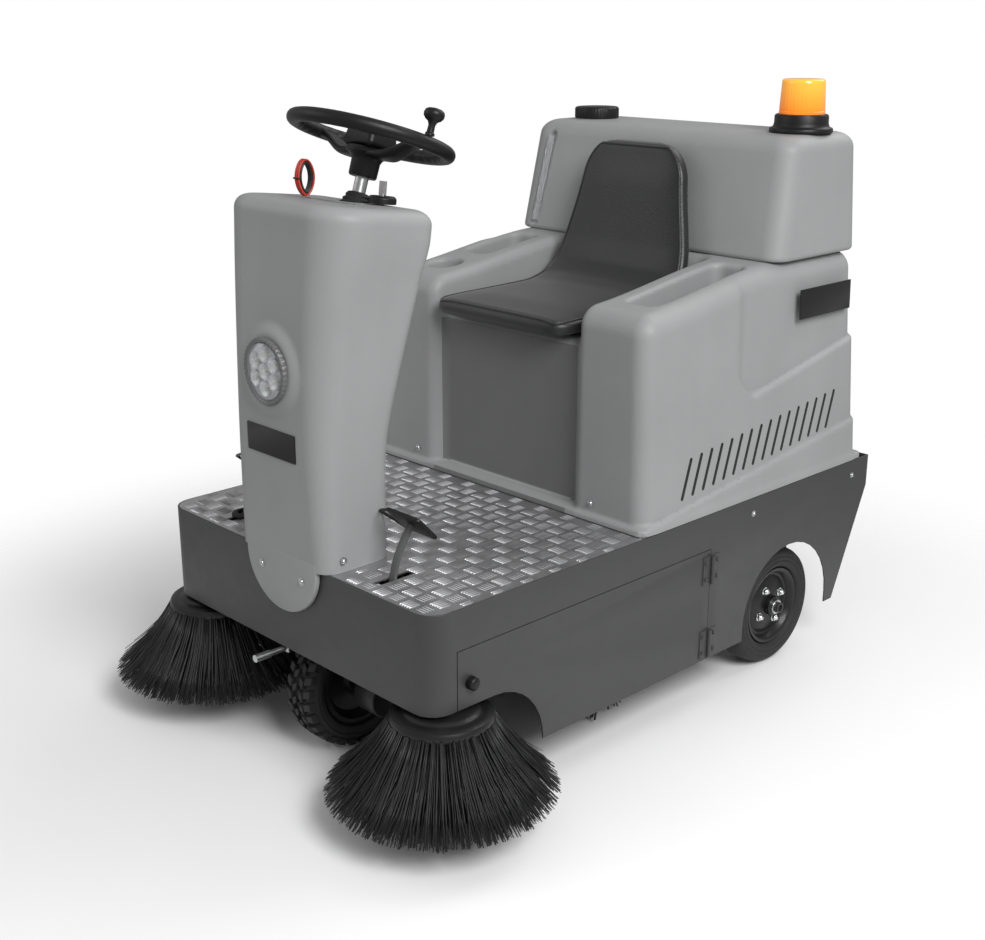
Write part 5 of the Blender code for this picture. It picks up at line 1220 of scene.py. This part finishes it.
def seatAt(v, u):
    # v runs from the front of the pan to the top of the back, u around the section; the section is a crowned
    # super-ellipse whose width and thickness close to rounded ends
    line = np.asarray(seatShape["line"])
    step = np.concatenate([[0], np.cumsum(np.hypot(*np.diff(line, axis=0).T))])
    run = v * step[-1]
    fine = np.linspace(0, step[-1], 400)
    kernel = np.hanning(41) / np.hanning(41).sum()
    smooth = [np.convolve(np.pad(np.interp(fine, step, line[:, k]), 20, mode="reflect", reflect_type="odd"), kernel,
                          "valid") for k in (0, 1)]
    y, z = (np.interp(run, fine, s) for s in smooth)
    dy, dz = (np.interp(run, fine, np.gradient(s, fine)) for s in smooth)
    size = np.hypot(dy, dz)
    dy, dz = dy / size, dz / size
    total = step[-1]
    front, rear = run, total - run
    width = seatShape["half"] - 0.050 * ease(run, total * 0.52, total * 0.97) + 0.004 * ease(run, total * 0.40, total * 0.5) * (1 - ease(run, total * 0.5, total * 0.6))
    endFront = np.sqrt(np.clip(1 - ((0.045 - np.minimum(front, 0.045)) / 0.045) ** 2, 0, 1))
    endRear = np.sqrt(np.clip(1 - ((0.075 - np.minimum(rear, 0.075)) / 0.075) ** 2, 0, 1))
    width = width * (0.80 + 0.20 * endFront) * (0.42 + 0.58 * endRear)
    thick = 0.0205 * np.sqrt(np.clip(1 - ((0.018 - np.minimum(np.minimum(front, rear), 0.018)) / 0.018) ** 2, 0, 1))
    across = np.sign(np.cos(u)) * np.abs(np.cos(u)) ** 0.30
    rise = np.sign(np.sin(u)) * np.abs(np.sin(u)) ** 0.55
    crown = np.where(np.sin(u) > 0, 1.0 + 0.38 * (1 - across ** 2) * ease(np.minimum(front, rear), 0.0, 0.10), 0.82)
    offset = thick * rise * crown
    x = width * across
    return np.stack([x + 0 * y, y - dz * offset, z + dy * offset], -1)


def makeSeat():
    rows, around = seatShape["rows"], seatShape["around"]
    v = (1 - np.cos(np.linspace(0, math.pi, rows))) / 2 * 0.35 + np.linspace(0, 1, rows) * 0.65
    u = np.linspace(0, 2 * math.pi, around, endpoint=False)
    vv, uu = np.meshgrid(v, u, indexing="ij")
    points = seatAt(vv, uu).reshape(-1, 3)
    caps = [np.array([list(range(around))]), np.array([[(rows - 1) * around + j for j in range(around)]])]
    seat = meshPiece("seat_pad", points, [gridFaces(rows, around, False, True)] + caps, seatVinyl, "root",
                     ("seat_cushion",), "seat_vinyl", 180)
    # piping along the edge seam, a little above the widest line
    t = np.linspace(0.012, 0.985, 150)
    right = seatAt(t, np.full(150, 0.55))
    left = seatAt(t[::-1], np.full(150, math.pi - 0.55))
    topArc = seatAt(np.full(24, 0.985), np.linspace(0.55, math.pi - 0.55, 24))[1:-1]
    frontArc = seatAt(np.full(24, 0.012), np.linspace(math.pi - 0.55, 0.55, 24))[1:-1]
    loop = np.vstack([right, topArc, left, frontArc])
    gap = np.linalg.norm(np.roll(loop, -1, 0) - loop, axis=1)
    loop = loop[gap > 1e-4]
    meshPiece("seat_piping", *tube(loop, 0.0030, 8, True), seatVinyl, "root", (), "seat_vinyl", 180)


# Wire hank, pod and the rest

def makeWires():
    low, high = cornerOf("wire_hank")
    middle = (low + high) / 2
    halfY, halfZ = (high[1] - low[1]) / 2 - 0.0022, (high[2] - low[2]) / 2 - 0.0022
    thick, pitch, turns = 0.0041, 0.0045, 2.9
    for name, skin, inner in (("wire_red", wireRed, 0.0), ("wire_black", wireBlack, 0.0047)):
        # A flat helix of almost three turns, the black one inside the red and every turn its own width along x
        t = np.linspace(0, 1, 90)
        a = -math.pi / 2 + 0.3 + 2 * math.pi * turns * t
        squeeze = 1 - 0.14 * np.cos(a) ** 2 * np.sin(a) ** 2
        x = middle[0] + pitch * turns * (t - 0.5)
        y = middle[1] + (halfY - inner) * np.cos(a) * squeeze
        z = middle[2] + (halfZ - inner) * np.sin(a) * squeeze
        path = np.stack([x, y, z], -1)
        curve = bpy.data.curves.new(name, "CURVE")
        curve.dimensions = "3D"
        spline = curve.splines.new("POLY")
        spline.points.add(len(path) - 1)
        spline.points.foreach_set("co", np.hstack([path - (0, midY, 0), np.ones((len(path), 1))]).ravel())
        curve.bevel_depth, curve.bevel_resolution, curve.use_fill_caps = thick / 2, 3, True
        curve.materials.append(skin)
        piece = bpy.data.objects.new(name, curve)
        bpy.context.scene.collection.objects.link(piece)
        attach(piece, "root")
        if inner == 0:
            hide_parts("wire_hank")
    # the tie round the middle
    turn = np.linspace(0, 2 * math.pi, 28, endpoint=False)
    tie = np.stack([middle[0] + 0.0092 * np.cos(turn), middle[1] - halfY * 0.92 + 0.0052 * np.sin(turn),
                    np.full(28, middle[2])], -1)
    meshPiece("wire_tie", *tube(tie, 0.0014, 6, True), grainBlack, "root")


def dressNodes():
    looks = {"frame_paint": framePaint, "skirt_paint": skirtPaint, "tread_plate": treadAlloy, "tyre": tyreRubber,
             "rim": rimBlack, "black_plastic": grainBlack,
             "steering_foam": grainBlack, "motor_case": caseBlack, "battery_case": caseBlack, "steel": zincSteel,
             "bristle": bristleBlack,
             "belt_rubber": tyreRubber, "filter_paper": paperCream, "alloy": zincSteel, "pedal_paint": pedalPaint,
             "cover_plastic": coverGrey,
             "lamp_bezel": bezelGrey, "clear_plastic": clearLens, "amber_plastic": amberLens, "seat_vinyl": seatVinyl,
             "wire": wireRed}
    for row in frame["record"]["subparts"]:
        data = nodes[row["node"]].data
        data.materials.clear()
        data.materials.append(looks[row["material_slot"]])


def makeTrim():
    blankPlate("side_label", (0.3925, 1.132, 0.815), (0, 1, 0), (-0.03, 0, 1), 0.185, 0.062)
    screws = [screwHead((sx * 0.26, 0.5525, 0.466), (0, -1, 0), 0.005) for sx in (-1, 1)]
    screws += [screwHead((sx * 0.405, y, 0.395), (sx, 0, 0), 0.0045) for sx in (-1, 1) for y in (0.90, 1.27)]
    meshPiece("hood_screws", *gather(screws), zincSteel, "root")
    refined("pod_shell", "control_pod", grainBlack, "root", 0.0012, 40)
    refined("key_body", "ignition_key", zincSteel, "key", 0.0005, 40)
    for node, body in (("steering_shaft", "steering"), ("front_fork", "fork"), ("drive_motor", "fork"),
                       ("hopper", "debris_hopper"),
                       ("side_brush_motor_left", "brush_arm_left"), ("side_brush_motor_right", "brush_arm_right"),
                       ("side_brush_arm_left", "brush_arm_left"), ("side_brush_arm_right", "brush_arm_right"),
                       ("main_frame", "root")):
        look = {"steering_shaft": zincSteel, "drive_motor": caseBlack, "side_brush_motor_left": caseBlack,
                "side_brush_motor_right": caseBlack}.get(node, framePaint)
        refined(node + "_eased", node, look, body, 0.0006, 35)


makeWires()
print("wires made")
dressNodes()
makeTread()
makeChassis()
print("chassis made")
makeHelm()
makeLamp()
makeWheels()
print("wheels made")
makeSideBrushes()
makeRoller()
print("brushes made")
makePedals()
makeSeat()
makeTrim()
print("trim made")
